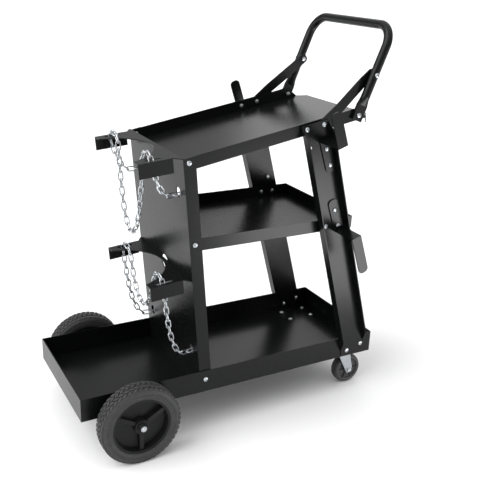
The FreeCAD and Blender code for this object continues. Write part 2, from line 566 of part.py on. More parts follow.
# ---------------------------------------------------------------- handle
bolt_x, bolt_z = on_top(*HANDLE_BOLT)
handle = body("handle_tube", (bolt_x + " - middle", "0", bolt_z), "handle_lean")
START = "flat_length + flat_blend"
path = sketch(handle, "YZ_Plane")
left, high, bend = number("tube_side"), number("handle_length"), number("handle_corner")
low = number(START)
path.addGeometry(Part.LineSegment(V(left, low, 0), V(left, high - bend, 0)), False)
path.addGeometry(Part.ArcOfCircle(Part.Circle(V(left - bend, high - bend, 0), V(0, 0, 1), bend),
                                  0, math.pi / 2), False)
path.addGeometry(Part.LineSegment(V(left - bend, high, 0), V(bend - left, high, 0)), False)
path.addGeometry(Part.ArcOfCircle(Part.Circle(V(bend - left, high - bend, 0), V(0, 0, 1), bend),
                                  math.pi / 2, math.pi), False)
path.addGeometry(Part.LineSegment(V(-left, high - bend, 0), V(-left, low, 0)), False)
for a, pa, b, pb in ((0, 2, 1, 1), (1, 2, 2, 1), (2, 2, 3, 1), (3, 2, 4, 1)):
    path.addConstraint(Sketcher.Constraint("Coincident", a, pa, b, pb))
pin_point(path, 0, 1, "tube_side", START)
pin_point(path, 0, 2, "tube_side", "handle_length - handle_corner")
pin_point(path, 2, 1, "tube_side - handle_corner", "handle_length")
pin_point(path, 2, 2, "handle_corner - tube_side", "handle_length")
pin_point(path, 4, 1, "-tube_side", "handle_length - handle_corner")
pin_point(path, 4, 2, "-tube_side", START)
for arc in (1, 3):
    index = path.addConstraint(Sketcher.Constraint("Radius", arc, bend))
    path.setExpression(f"Constraints[{index}]", bound("handle_corner"))
ring = circles(handle, "XY_Plane", [("0", "tube_side", "tube_radius"),
                                    ("0", "tube_side", "tube_radius - tube_wall")], START)
pipe = handle.newObject("PartDesign::AdditivePipe", "handle_pipe")
pipe.Profile = ring
pipe.Spine = path
for sign in ("", "-"):
    round_end = circles(handle, "XY_Plane", [("0", sign + "tube_side", "tube_radius")], START)
    flat_end = polygon(handle, "XY_Plane", [
        (f"{a}1.25 * tube_radius", f"{sign}tube_side {b} tube_flat / 2")
        for a, b in (("-", "-"), ("", "-"), ("", "+"), ("-", "+"))], "flat_length")
    blend = handle.newObject("PartDesign::AdditiveLoft", "handle_blend")
    blend.Profile = round_end
    blend.Sections = [flat_end]
    blend.Ruled = False
    tab = polygon(handle, "XY_Plane", [
        (f"{a}1.25 * tube_radius", f"{sign}tube_side {b} tube_flat / 2")
        for a, b in (("-", "-"), ("", "-"), ("", "+"), ("-", "+"))], "-tube_tail")
    pad(handle, tab, "flat_length + tube_tail")
pocket(handle, circles(handle, "XZ_Plane", [("0", "0", "screw_hole"), ("0", "brace_rise", "screw_hole")]),
       symmetric=True)


def brace_frame():
    """Ends and direction of the braces, in the level frame."""
    u, w = LEG_TOP_HOLES[1]
    x0, z0 = number(leg_x(u, w)), number(leg_z(u, w))
    x1 = number(bolt_x) + number("brace_rise") * math.sin(math.radians(number("handle_lean")))
    z1 = number(bolt_z) + number("brace_rise") * math.cos(math.radians(number("handle_lean")))
    return x0, z0, x1, z1


def handle_brace(label, side):
    """Flat strap, held between lip and leg below and on the inner side of the tube above."""
    x0, z0, x1, z1 = brace_frame()
    span = math.hypot(x1 - x0, z1 - z0)
    thick, width = size("brace_gauge"), size("brace_width")
    low_in, high_in = size("shelf_half"), size("tube_side") - size("tube_radius") - thick
    first, last, end = size("brace_share") * span, span - size("brace_straight"), size("brace_end")
    spots = [(-end, low_in), (first, low_in), (last, high_in), (span + end, high_in),
             (span + end, high_in + thick), (last, high_in + thick), (first, low_in + thick),
             (-end, low_in + thick)]
    wire = Part.makePolygon([V(a, side * b, -width / 2) for a, b in spots + spots[:1]])
    solid = Part.Face(wire).extrude(V(0, 0, width))
    corners = [e for e in solid.Edges if len(e.Vertexes) == 2
               and (near(e.Vertexes[0].X, -end) and near(e.Vertexes[1].X, -end)
                    or near(e.Vertexes[0].X, span + end) and near(e.Vertexes[1].X, span + end))
               and near(e.Vertexes[0].Z, e.Vertexes[1].Z)]
    solid = solid.makeFillet(width * 0.4, corners)
    for a, b in ((0, low_in), (span, high_in)):
        hole = Part.makeCylinder(size("screw_hole"), 4 * thick, V(a, side * b - 2 * thick, 0), V(0, 1, 0))
        solid = solid.cut(hole)
    item = doc.addObject("Part::Feature", label)
    item.Label = label
    item.Shape = solid
    turn = -math.degrees(math.atan2(z1 - z0, x1 - x0))
    item.Placement = FreeCAD.Placement(V(x0 - number("middle"), 0, z0), FreeCAD.Rotation(V(0, 1, 0), turn))
    return item


handle_brace("handle_brace_left", 1)
handle_brace("handle_brace_right", -1)


# ---------------------------------------------------------------- solids of revolution on an axis
def spun(outline, centre, axis):
    """A turned solid: outline as (along the axis, radius), placed on a centre and an axis."""
    wire = Part.makePolygon([V(r, 0, a) for a, r in outline + outline[:1]])
    solid = Part.Face(wire).revolve(V(0, 0, 0), V(0, 0, 1), 360)
    solid.Placement = FreeCAD.Placement(centre, FreeCAD.Rotation(V(0, 0, 1), axis))
    return solid


def feature(label, shapes):
    """A document object that holds one or more solids."""
    item = doc.addObject("Part::Feature", label)
    item.Label = label
    item.Shape = shapes[0] if len(shapes) == 1 else Part.makeCompound(shapes)
    return item


def screw(face, out, grip):
    """Pan-head screw with its nut: face is under the head, out points to the head."""
    shank, head, tall = size("screw_radius"), size("head_radius"), size("head_height")
    nut, thick = size("nut_radius"), size("nut_height")
    end = -grip - thick - size("screw_tail")
    outline = [(end, 0), (end, shank - 0.6), (end + 0.6, shank), (0, shank), (0, head),
               (tall * 0.45, head), (tall * 0.82, head * 0.82), (tall, head * 0.5), (tall, 0)]
    solid = spun(outline, V(0, 0, 0), V(0, 0, 1))
    cross = Part.makeBox(head * 0.9, 1.0, 1.4, V(-head * 0.45, -0.5, tall - 1.4))
    solid = solid.cut(cross).cut(cross.rotated(V(0, 0, 0), V(0, 0, 1), 90))
    corners = [V(nut * math.cos(k * math.pi / 3), nut * math.sin(k * math.pi / 3), -grip - thick)
               for k in range(7)]
    solid = solid.fuse(Part.Face(Part.makePolygon(corners)).extrude(V(0, 0, thick))).removeSplitter()
    solid.Placement = FreeCAD.Placement(face, FreeCAD.Rotation(V(0, 0, 1), out))
    return solid


def at(x, y, z):
    """A point from sheet formulas, counted from the rear of the tray."""
    return V(number(x) - number("middle"), number(y), number(z))


GAUGE = size("gauge")
SHELF = size("shelf_half")
leg_gap = size("leg_face") - SHELF


def leg_point(u, w, y):
    return at(leg_x(u, w), str(y), leg_z(u, w))


for side_name, side in (("left", 1), ("right", -1)):
    out = V(0, side, 0)
    outer = side * size("leg_out")
    screws = [screw(leg_point(u, w, outer), out, 2 * GAUGE) for u, w in LEG_FOOT_HOLES]
    screws += [screw(leg_point(u, w, outer), out, 2 * GAUGE + leg_gap)
               for u, w in LEG_TOP_HOLES + [SHELF_LEG_HOLE]]
    feature("leg_screws_" + side_name, screws)
    spacers = []
    for u, w in (LEG_TOP_HOLES[0], SHELF_LEG_HOLE, LOWER_HOOK_HOLES[0]):
        spacers.append(spun([(0, size("screw_hole")), (0, size("spacer_radius")),
                             (leg_gap, size("spacer_radius")), (leg_gap, size("screw_hole"))],
                            leg_point(u, w, side * SHELF), out))
    feature("leg_spacers_" + side_name, spacers)
    hook_face = side * (size("leg_out") + size("hook_gauge"))
    hook_grip = GAUGE + size("hook_gauge")
    feature("hook_screws_" + side_name, [
        screw(leg_point(*spot, hook_face), out, hook_grip + (leg_gap + GAUGE) * (spot == LOWER_HOOK_HOLES[0]))
        for spot in LEG_HOOK_HOLES])
    edge = side * size("lip_inside")
    screws = [screw(at(panel_x(rise, PANEL_BOLT_INSET), str(edge + side * GAUGE * (rise == FOOT_BOLT_RISE)),
                       panel_z(rise, PANEL_BOLT_INSET)), out, 2 * GAUGE)
              for rise in (FOOT_BOLT_RISE, SHELF_BOLT_RISE, TOP_BOLT_RISE)]
    feature("panel_screws_" + side_name, screws)
    tube_out = side * (size("tube_side") + size("tube_flat") / 2)
    tube_face = side * (size("tube_side") + size("tube_radius"))
    x0, z0, x1, z1 = brace_frame()
    feature("handle_screws_" + side_name, [
        screw(at(bolt_x, str(tube_out), bolt_z), out, size("tube_flat") + GAUGE),
        screw(V(x1 - number("middle"), tube_face, z1), out,
              2 * size("tube_radius") + size("brace_gauge"))])

# ---------------------------------------------------------------- rear axle and wheels
AXLE = V(number("axle_station - middle"), 0, size("wheel_radius"))
inner, outer = size("wheel_inner"), size("wheel_outer")
axle_r = size("axle_radius")
axle_half = outer + size("axle_overhang")
feature("rear_axle", [Part.makeCylinder(axle_r, 2 * axle_half, AXLE - V(0, axle_half, 0), V(0, 1, 0))])
saddles = []
deck, thick, foot_wide = size("deck_height"), size("saddle_gauge"), size("saddle_foot")
for side in (1, -1):
    drop = deck - AXLE.z + axle_r + size("saddle_edge")
    rear, middle_y = AXLE.x - size("saddle_length") / 2, side * size("saddle_side")
    plate = Part.makeBox(size("saddle_length"), thick, drop, V(rear, middle_y - thick / 2, deck - drop))
    foot_y = middle_y - side * (thick + foot_wide) / 2 - foot_wide / 2
    foot = Part.makeBox(size("saddle_length"), foot_wide, thick, V(rear, foot_y, deck - thick))
    saddle = plate.fuse(foot).removeSplitter()
    hole = Part.makeCylinder(axle_r + size("saddle_gap"), 4 * thick,
                             V(AXLE.x, middle_y - 2 * thick, AXLE.z), V(0, 1, 0))
    saddles.append(saddle.cut(hole))
feature("axle_saddles", saddles)

BORE = axle_r + size("running_gap")
TYRE_IN = size("rim_radius")
WEB, BOSS, REACH = size("web_half"), size("boss_radius"), size("boss_reach")
for side_name, side in (("left", 1), ("right", -1)):
    out = V(0, side, 0)
    foot = AXLE + V(0, side * inner, 0)
    width, radius = size("wheel_width"), size("wheel_radius")
    tyre = spun([(2, TYRE_IN), (width - 2, TYRE_IN), (width - 2, TYRE_IN + 3), (width, TYRE_IN + 6),
                 (width, radius - 9), (width - 2, radius - 4), (width - 6, radius - 0.8),
                 (width - 10, radius), (10, radius), (6, radius - 0.8), (2, radius - 4), (0, radius - 9),
                 (0, TYRE_IN + 6), (2, TYRE_IN + 3)], foot, out)
    feature("rear_tyre_" + side_name, [tyre])
    # moulded hub: rim, centre web, boss and three ribs on each face
    hub = spun([(-REACH, BORE), (-REACH, BOSS - 2), (width / 2 - WEB, BOSS), (width / 2 - WEB, TYRE_IN - 8),
                (3, TYRE_IN - 5), (3, TYRE_IN), (width - 3, TYRE_IN), (width - 3, TYRE_IN - 5),
                (width / 2 + WEB, TYRE_IN - 8), (width / 2 + WEB, BOSS), (width - 1, BOSS - 2),
                (width - 1, BORE)], V(0, 0, 0), V(0, 0, 1))
    for k in range(3):
        for low_z, tall in ((width / 2 + WEB - 1, width / 2 - 8), (8, width / 2 - 10)):
            rib = Part.makeBox(TYRE_IN - 20, size("rib_width"), tall, V(BOSS - 4, -size("rib_width") / 2, low_z))
            hub = hub.fuse(rib.rotated(V(0, 0, 0), V(0, 0, 1), 120 * k - 90))
    hub = hub.removeSplitter()
    hub.Placement = FreeCAD.Placement(foot, FreeCAD.Rotation(V(0, 0, 1), out))
    feature("rear_hub_" + side_name, [hub])
    rim, over = size("cap_radius"), size("axle_overhang")
    cap = spun([(0, axle_r), (0, rim), (2, rim), (2, rim - 1.5), (over + 1, rim - 3), (over + 2.5, rim / 2),
                (over + 3, 0), (over, 0), (over, axle_r)], AXLE + V(0, side * outer, 0), out)
    feature("axle_cap_" + side_name, [cap])
    rim, wide = size("collar_radius"), size("collar_width")
    collar = spun([(0, axle_r), (0, rim), (wide, rim), (wide, axle_r)],
                  AXLE + V(0, side * (inner - REACH - size("side_gap") - wide), 0), out)
    feature("axle_collar_" + side_name, [collar])

# ---------------------------------------------------------------- swivel casters
CR, CW = size("caster_radius"), size("caster_width")
PIN_R, PLATE, CHEEK = size("kingpin_radius"), size("caster_gauge"), size("fork_gauge")
AXLE_R, EDGE = size("caster_axle_radius"), size("caster_edge")
RACE_LOW, RACE_GAP = 3 * PLATE, 0.4    # underside of the upper race, and the play below it
CROWN_TOP = RACE_LOW + RACE_GAP + PLATE
PIN_SHOULDER = CROWN_TOP + PLATE + 1.2
deck = size("deck_height")
for side_name, side in (("left", 1), ("right", -1)):
    king = V(number("caster_station - middle"), side * size("caster_side"), deck)
    half_long, half_wide = size("caster_bolt_length") / 2, size("caster_bolt_width") / 2
    plate = Part.makeBox(2 * (half_long + EDGE), 2 * (half_wide + EDGE), PLATE,
                         king - V(half_long + EDGE, half_wide + EDGE, PLATE))
    plate = plate.makeFillet(size("caster_corner"),
                             [e for e in plate.Edges if near(e.Vertexes[0].X, e.Vertexes[1].X)
                              and near(e.Vertexes[0].Y, e.Vertexes[1].Y)])
    for a in (1, -1):
        for b in (1, -1):
            spot = king + V(a * half_long, b * half_wide, -PLATE - 1)
            plate = plate.cut(Part.makeCylinder(size("screw_hole"), PLATE + 2, spot))
    race = spun([(-RACE_LOW, 0), (-RACE_LOW, 13), (-RACE_LOW + 2.5, 20), (-PLATE, 20), (-PLATE, 0)],
                king, V(0, 0, 1))
    pin = spun([(-PIN_SHOULDER - 2.4, 0), (-PIN_SHOULDER - 2.4, PIN_R + 3), (-PIN_SHOULDER, PIN_R + 3),
                (-PIN_SHOULDER, PIN_R), (-RACE_LOW, PIN_R), (-RACE_LOW, 0)], king, V(0, 0, 1))
    feature("caster_mount_" + side_name, [plate.fuse([race, pin]).removeSplitter()])
    # fork: crown plate under the race and two tapering cheeks
    axle = king + V(size("caster_trail"), 0, CR - deck)
    cheek_in = CW / 2 + size("fork_gap")
    low = deck - CROWN_TOP - PLATE
    crown = Part.makeBox(34, 2 * (cheek_in + CHEEK), PLATE, V(king.x - 14, king.y - cheek_in - CHEEK, low))
    crown = crown.fuse(Part.makeCylinder(19, PLATE, V(king.x, king.y, low)))
    ball = spun([(-CROWN_TOP, PIN_R + 1.5), (-CROWN_TOP, 16), (-CROWN_TOP + PLATE, 19),
                 (-CROWN_TOP + PLATE, PIN_R + 1.5)], king, V(0, 0, 1))
    fork = crown.fuse(ball)
    for b in (1, -1):
        y0 = king.y + b * (cheek_in + CHEEK / 2) - CHEEK / 2
        top_z = deck - CROWN_TOP
        outline = [V(king.x - 14, y0, top_z), V(king.x + 20, y0, top_z), V(axle.x + 9, y0, axle.z + 6),
                   V(axle.x + 6, y0, axle.z - 7), V(axle.x - 4, y0, axle.z - 9), V(axle.x - 9, y0, axle.z - 3)]
        fork = fork.fuse(Part.Face(Part.makePolygon(outline + outline[:1])).extrude(V(0, CHEEK, 0)))
    gap = size("running_gap")
    fork = fork.cut(Part.makeCylinder(PIN_R + gap, 30, V(king.x, king.y, deck - 30)))
    fork = fork.cut(Part.makeCylinder(AXLE_R + gap, 4 * CW, axle - V(0, 2 * CW, 0), V(0, 1, 0)))
    feature("caster_fork_" + side_name, [fork.removeSplitter()])
    end = cheek_in + CHEEK
    axle_pin = spun([(-end - 4, 0), (-end - 4, 6), (-end, 6), (-end, AXLE_R), (end, AXLE_R), (end, 6),
                     (end + 3, 5.4), (end + 3, 0)], axle, V(0, side, 0))
    feature("caster_axle_" + side_name, [axle_pin])
    bore = AXLE_R + gap
    half = [(CW / 2 - 7, CR), (CW / 2 - 3, CR - 1), (CW / 2, CR - 4), (CW / 2, CR - 9),
            (CW / 2 - 3, CR - 11), (CW / 2 - 3, 12), (CW / 2 + 1, 11), (CW / 2 + 1, bore)]
    wheel = spun([(-y, r) for y, r in half[::-1]] + half, axle, V(0, 1, 0))
    feature("caster_wheel_" + side_name, [wheel])
feature("caster_screws", [screw(at(x, y, "deck_height + gauge"), V(0, 0, 1), GAUGE + PLATE)
                          for x, y in CASTER_BOLTS])


# ---------------------------------------------------------------- retaining chains
def link():
    """One closed oval link, its long axis on X, lying in the XY plane."""
    wire_r = size("wire_radius")
    half = size("link_width") / 2 - wire_r
    straight = size("link_length") - size("link_width")
    ring = Part.makeTorus(half, wire_r)
    cutter = Part.makeBox(4 * half, 4 * half, 4 * half, V(0, -2 * half, -2 * half))
    right = ring.common(cutter)
    left_end = right.mirror(V(0, 0, 0), V(1, 0, 0))
    right.translate(V(straight / 2, 0, 0))
    left_end.translate(V(-straight / 2, 0, 0))
    bars = [Part.makeCylinder(wire_r, straight, V(-straight / 2, b * half, 0), V(1, 0, 0)) for b in (1, -1)]
    return right.fuse([left_end] + bars).removeSplitter()


def string_of_links(joints, normal):
    """Links from joint to joint, each turned a quarter against the last. Also gives the last normal."""
    links, before = [], None
    for start, end in zip(joints, joints[1:]):
        along = (end - start).normalize()
        if before:
            normal = along.cross(FreeCAD.Rotation(before, along).multVec(normal))
        normal = (normal - along * normal.dot(along)).normalize()
        one = LINK.copy()
        one.Placement = FreeCAD.Placement((start + end) * 0.5,
                                          FreeCAD.Rotation(along, normal.cross(along), normal, "XYZ"))
        links.append(one)
        before = along
    return links, normal


def hanging(start, end, count):
    """Joints of a slack run of that many links: equal steps along a catenary."""
    flat = V(end.x - start.x, end.y - start.y, 0)
    span, drop, length = flat.Length, end.z - start.z, count * PITCH
    flat.normalize()
    low, high = span / 100, span * 100
    for _ in range(60):
        scale = math.sqrt(low * high)
        if 2 * scale * math.sinh(span / (2 * scale)) > math.sqrt(length ** 2 - drop ** 2):
            low = scale
        else:
            high = scale
    first = scale * math.atanh(drop / length) - span / 2
    arc = scale * math.sinh(first / scale)
    joints = []
    for k in range(count + 1):
        along = scale * math.asinh((arc + k * PITCH) / scale)
        rise = scale * (math.cosh(along / scale) - math.cosh(first / scale))
        joints.append(start + flat * (along - first) + V(0, 0, rise))
    return joints


def behind_panel(rise, out, y, above=0.0):
    """A point behind the panel: its rise, how far out, across, and above that rise."""
    return at(panel_x(f"({rise}) + ({above})", f"-({out})"), str(y), panel_z(f"({rise}) + ({above})", f"-({out})"))


def over_the_arm(plate, side):
    """Joints of the links that come up through an arm slot and go over the arm, from below inward."""
    tilt = math.radians(OVER_ARM_TILTS[0])
    y = size("slot_side") + PITCH / 2 * math.sin(tilt)
    out, rise = size("slot_link_out"), -PITCH / 2 * math.cos(tilt)
    joints = [behind_panel(plate, out, side * y, rise)]
    for tilt in OVER_ARM_TILTS:
        y -= PITCH * math.sin(math.radians(tilt))
        rise += PITCH * math.cos(math.radians(tilt))
        joints.append(behind_panel(plate, out, side * y, rise))
    return joints


def retaining_chain(label, bracket_rise, hole_rise, loop_links, swag_links):
    """Chain across the bottles: from each panel hole, up through an arm slot and over the arm."""
    plate = f"{bracket_rise} + gauge / 2"
    left, right = over_the_arm(plate, 1), over_the_arm(plate, -1)[::-1]
    links, _ = string_of_links(left + hanging(left[-1], right[0], loop_links)[1:-1] + right, V(0, 1, 0))
    low = f"{hole_rise} - chain_pin_drop"
    pin_out = -GAUGE - size("chain_pin_radius") - size("chain_pin_gap")
    half = size("chain_pin_length") / 2
    pins = []
    for side, slot in ((1, left[0]), (-1, right[-1])):
        y = side * size("chain_hole_side")
        hole_in, hole_out = (behind_panel(low, size("chain_pin_out") + way * PITCH / 2, y) for way in (-1, 1))
        swag, turn = string_of_links(hanging(slot, hole_out, swag_links) + [hole_in], V(1, 0, 0))
        links += swag
        pins.append(Part.makeCylinder(size("chain_pin_radius"), 2 * half,
                                      behind_panel(low, pin_out, y) - turn * half, turn))
    feature(label, links)
    return pins


LINK = link()
PITCH = size("link_length") - 4 * size("wire_radius") - size("link_slack")
OVER_ARM_TILTS = (28, 68, 105, 140)    # degrees from upright, link by link
chain_pins = retaining_chain("upper_chain", "panel_rise", "upper_hole_rise", 25, 6)
chain_pins += retaining_chain("lower_chain", "lower_bracket_rise", "lower_hole_rise", 15, 12)
feature("chain_pins", chain_pins)


# ---------------------------------------------------------------- checks and files
doc.recompute()
NODES = [o for o in doc.Objects if o.TypeId == "PartDesign::Body"
         or (o.TypeId == "Part::Feature" and not o.getParentGeoFeatureGroup())]
for item in doc.Objects:
    if "Invalid" in item.State or "Error" in item.State:
        raise RuntimeError("failed: " + item.Label + " " + str(item.State))
for item in NODES:
    if item.Shape.isNull() or not item.Shape.isValid():
        raise RuntimeError("bad shape: " + item.Label)
for item in NODES:
    item.Shape.exportStep(f"parts/{item.Label}.step")
    box = item.Shape.BoundBox
    print(f"{item.Label:26s} solids {len(item.Shape.Solids)} volume {item.Shape.Volume:10.0f} "
          f"x {box.XMin:7.1f} {box.XMax:7.1f} y {box.YMin:7.1f} {box.YMax:7.1f} z {box.ZMin:7.1f} {box.ZMax:7.1f}")
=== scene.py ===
import math

import bmesh
import bpy
from bpy.props import FloatProperty, FloatVectorProperty, IntProperty, PointerProperty
from mathutils import Matrix, Vector
import numpy as np


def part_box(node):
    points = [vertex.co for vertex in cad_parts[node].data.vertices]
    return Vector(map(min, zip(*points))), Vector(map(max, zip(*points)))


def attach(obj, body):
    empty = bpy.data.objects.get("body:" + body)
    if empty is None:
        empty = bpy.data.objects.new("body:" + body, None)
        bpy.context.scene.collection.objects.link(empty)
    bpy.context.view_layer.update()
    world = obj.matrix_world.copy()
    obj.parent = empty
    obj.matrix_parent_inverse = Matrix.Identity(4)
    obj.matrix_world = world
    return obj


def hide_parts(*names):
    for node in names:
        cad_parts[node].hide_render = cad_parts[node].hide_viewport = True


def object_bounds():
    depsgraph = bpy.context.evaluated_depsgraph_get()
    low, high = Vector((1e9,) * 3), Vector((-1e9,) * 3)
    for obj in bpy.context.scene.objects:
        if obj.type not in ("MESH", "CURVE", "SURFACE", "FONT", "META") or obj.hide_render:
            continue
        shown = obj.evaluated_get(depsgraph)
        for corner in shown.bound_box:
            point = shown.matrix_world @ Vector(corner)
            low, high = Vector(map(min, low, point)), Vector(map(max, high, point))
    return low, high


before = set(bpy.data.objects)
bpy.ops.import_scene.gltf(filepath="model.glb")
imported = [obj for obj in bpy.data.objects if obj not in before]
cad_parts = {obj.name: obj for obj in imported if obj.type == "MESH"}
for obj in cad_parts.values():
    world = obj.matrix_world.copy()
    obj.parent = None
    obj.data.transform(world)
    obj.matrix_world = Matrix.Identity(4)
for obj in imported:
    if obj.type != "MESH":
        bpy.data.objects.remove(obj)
CAD_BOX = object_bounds()

bl_info = {
    "name": "Welding Cart Looks",
    "version": (1, 0, 0),
    "blender": (4, 5, 0),
    "location": "View3D > Sidebar > Welding Cart",
    "description": "Finishes, tyres, fasteners and chains of a folded steel gas welding cart",
    "category": "Object",
}

MM = 0.001
SIDES = (("left", 1), ("right", -1))
FLAT_ANGLE = math.radians(0.6)      # faces that meet flatter than this are one face
SAME_POINT = 0.002 * MM             # corners of loose triangles that are one corner
DOUBLE_POINT = 1e-7                 # points of a turned shape that fall together on its axis

CAMERA_PLACE = (-0.74705, -1.45721, 1.00394)
CAMERA_YAW, CAMERA_PITCH, CAMERA_ROLL = (math.radians(a) for a in (60.7346, -20.2635, 2.1520))
SENSOR_WIDTH = 36.0
FAR_AWAY = 60.0                     # the floor's half side, and the end of the camera's sight
FLOOR_DROP = 0.4 * MM
KEY_FROM = Vector((-1.65, 0.05, 1.5))
KEY_SPREAD = math.radians(60)
# place, the point it faces, and diameter of each soft light
SOFT_LIGHTS = {"side": ((-2.3, 0.9, 0.9), (0.0, 0.0, 0.35), 1.3),
               "low": ((0.57, -0.72, 0.17), (0.28, -0.15, 0.38), 0.52),
               "back": ((1.6, 2.3, 2.0), (0.0, 0.0, 0.5), 1.2)}
SKY_START, SKY_FULL = 0.25, 0.85    # heights where the surroundings begin to brighten, and are brightest

COAT_DUST = (0.10, 0.10, 0.10, 1.0)
TREAD_DUST = (0.075, 0.075, 0.075, 1.0)
STEEL_DARK, STEEL_BRIGHT = (0.40, 0.40, 0.41, 1.0), (0.60, 0.60, 0.61, 1.0)
WHITE = (1.0, 1.0, 1.0, 1.0)

SHEET_NODES = ["bottom_tray", "middle_tray", "top_tray", "rear_panel", "upper_bottle_bracket",
               "lower_bottle_bracket", "front_leg_left", "front_leg_right", "upper_cable_hook_left",
               "upper_cable_hook_right", "lower_cable_hook_left", "lower_cable_hook_right",
               "handle_brace_left", "handle_brace_right", "axle_saddles"]
SIDE_SCREW_NODES = [f"{kind}_screws_{side}" for kind in ("leg", "hook", "panel", "handle")
                    for side in ("left", "right")]


# ------------------------------------------------------------------ node trees
class Value:
    """An output socket that can be used in sums."""

    def __init__(self, tree, socket):
        self.tree, self.socket = tree, socket

    def maths(self, operation, other, swapped=False):
        parts = [other, self] if swapped else [self, other]
        return self.tree.add("ShaderNodeMath", {"operation": operation}, dict(enumerate(parts)))[0]

    def __add__(self, other):
        return self.maths("ADD", other)

    def __mul__(self, other):
        return self.maths("MULTIPLY", other)

    def __sub__(self, other):
        return self.maths("SUBTRACT", other)

    def __rsub__(self, other):
        return self.maths("SUBTRACT", other, swapped=True)

    def __truediv__(self, other):
        return self.maths("DIVIDE", other)

    __radd__ = __add__
    __rmul__ = __mul__


class Added:
    """A node in a tree; its outputs are read by name or number."""

    def __init__(self, tree, node):
        self.tree, self.node = tree, node

    def __getitem__(self, key):
        return Value(self.tree, self.node.outputs[key])


class Tree:
    """Adds nodes to a shader tree or a geometry tree."""

    def __init__(self, nodes):
        self.nodes = nodes

    def add(self, kind, settings=None, sockets=None):
        """A new node of that type, with its settings made before its sockets are fed."""
        node = self.nodes.nodes.new(kind)
        for name, value in (settings or {}).items():
            setattr(node, name, value)
        for key, value in (sockets or {}).items():
            self.feed(node.inputs[key], value)
        return Added(self, node)

    def feed(self, socket, value):
        if isinstance(value, Value):
            self.nodes.links.new(value.socket, socket)
        else:
            socket.default_value = value

    def blend_colours(self, factor, first, second):
        return self.add("ShaderNodeMix", {"data_type": "RGBA"}, {0: factor, 6: first, 7: second})[2]

    def ramp(self, factor, low, high):
        """Factor stretched so that low gives 0 and high gives 1."""
        return self.add("ShaderNodeMapRange", {"clamp": True},
                        {"Value": factor, "From Min": low, "From Max": high})["Result"]

    def noise(self, place, scale, detail=2.0, roughness=0.5):
        """Noise of about that many grains to the metre."""
        return self.add("ShaderNodeTexNoise", None, {"Vector": place, "Scale": scale, "Detail": detail,
                                                     "Roughness": roughness})[0]


def rgb(colour, times=1.0):
    """A colour property for a socket, made that many times as bright."""
    return (*(c * times for c in colour), 1.0)


class Finish(Tree):
    """A material with one Principled shader on object coordinates."""

    def __init__(self, name, **constants):
        self.material = bpy.data.materials.new(name)
        self.material.use_nodes = True
        super().__init__(self.material.node_tree)
        self.shader = self.nodes.nodes["Principled BSDF"]
        self.place = self.add("ShaderNodeTexCoord")["Object"]
        for key, value in constants.items():
            self.shader.inputs[key.replace("_", " ").title().replace("Ior", "IOR")].default_value = value

    def vary(self, **varied):
        for key, value in varied.items():
            self.feed(self.shader.inputs[key.replace("_", " ").title()], value)

    def bump(self, height, strength, distance):
        """Relief of at most that distance in metres."""
        self.vary(normal=self.add("ShaderNodeBump", None, {"Strength": strength, "Distance": distance,
                                                           "Height": height})["Normal"])


def powder_coat(look):
    """Semi-gloss powder coat: orange peel, faint colour drift, dust in the low grain."""
    f = Finish("black_powder_coat", specular_ior_level=look.coat_shine)
    drift = f.noise(f.place, 9.0, 4.0)
    cloud = f.noise(f.place, 2.2, 3.0)
    peel = f.noise(f.place, 620.0, 2.0)
    fine = f.noise(f.place, 2600.0, 1.0)
    specks = f.ramp(f.noise(f.place, 1500.0, 1.0), 0.70, 0.78)
    shade = f.blend_colours(drift, rgb(look.coat_colour), rgb(look.coat_colour, 1.35))
    f.vary(base_color=f.blend_colours(specks * 0.10, shade, COAT_DUST),
           roughness=cloud * 0.08 + peel * 0.06 + (look.coat_roughness - 0.07))
    f.bump(peel * 0.75 + fine * 0.25, 0.16, 0.00035)
    return f.material


def zinc_plate(look):
    """Bright zinc on screws, pins and links."""
    f = Finish("bright_zinc", metallic=1.0)
    cloud = f.noise(f.place, 260.0, 3.0)
    grain = f.noise(f.place, 2400.0, 2.0)
    f.vary(base_color=f.blend_colours(cloud, rgb(look.zinc_colour), rgb(look.zinc_colour, 1.45)),
           roughness=cloud * 0.14 + grain * 0.08 + 0.16)
    f.bump(grain, 0.10, 0.0001)
    return f.material


def zinc_sheet(look):
    """Pressed zinc sheet of the caster forks and plates, with faint draw lines."""
    f = Finish("pressed_zinc", metallic=1.0)
    spangle = f.add("ShaderNodeTexVoronoi", {"feature": "F1"}, {"Vector": f.place, "Scale": 320.0})["Color"]
    tone = f.add("ShaderNodeRGBToBW", None, {0: spangle})[0]
    cloud = f.noise(f.place, 90.0, 3.0)
    f.vary(base_color=f.blend_colours(tone, rgb(look.zinc_colour, 0.82), rgb(look.zinc_colour)),
           roughness=tone * 0.12 + cloud * 0.15 + 0.20)
    f.bump(f.noise(f.place, 1500.0, 2.0), 0.10, 0.0001)
    return f.material


def turned_steel(_look):
    """Plain axle steel with turning marks round its axis."""
    f = Finish("turned_steel", metallic=1.0)
    marks = f.add("ShaderNodeTexWave", {"wave_type": "BANDS", "bands_direction": "Y"},
                  {"Vector": f.place, "Scale": 480.0, "Distortion": 2.0, "Detail": 2.0})[1]
    cloud = f.noise(f.place, 60.0, 4.0)
    f.vary(base_color=f.blend_colours(cloud, STEEL_DARK, STEEL_BRIGHT),
           roughness=marks * 0.10 + cloud * 0.15 + 0.20)
    f.bump(marks, 0.08, 0.0001)
    return f.material


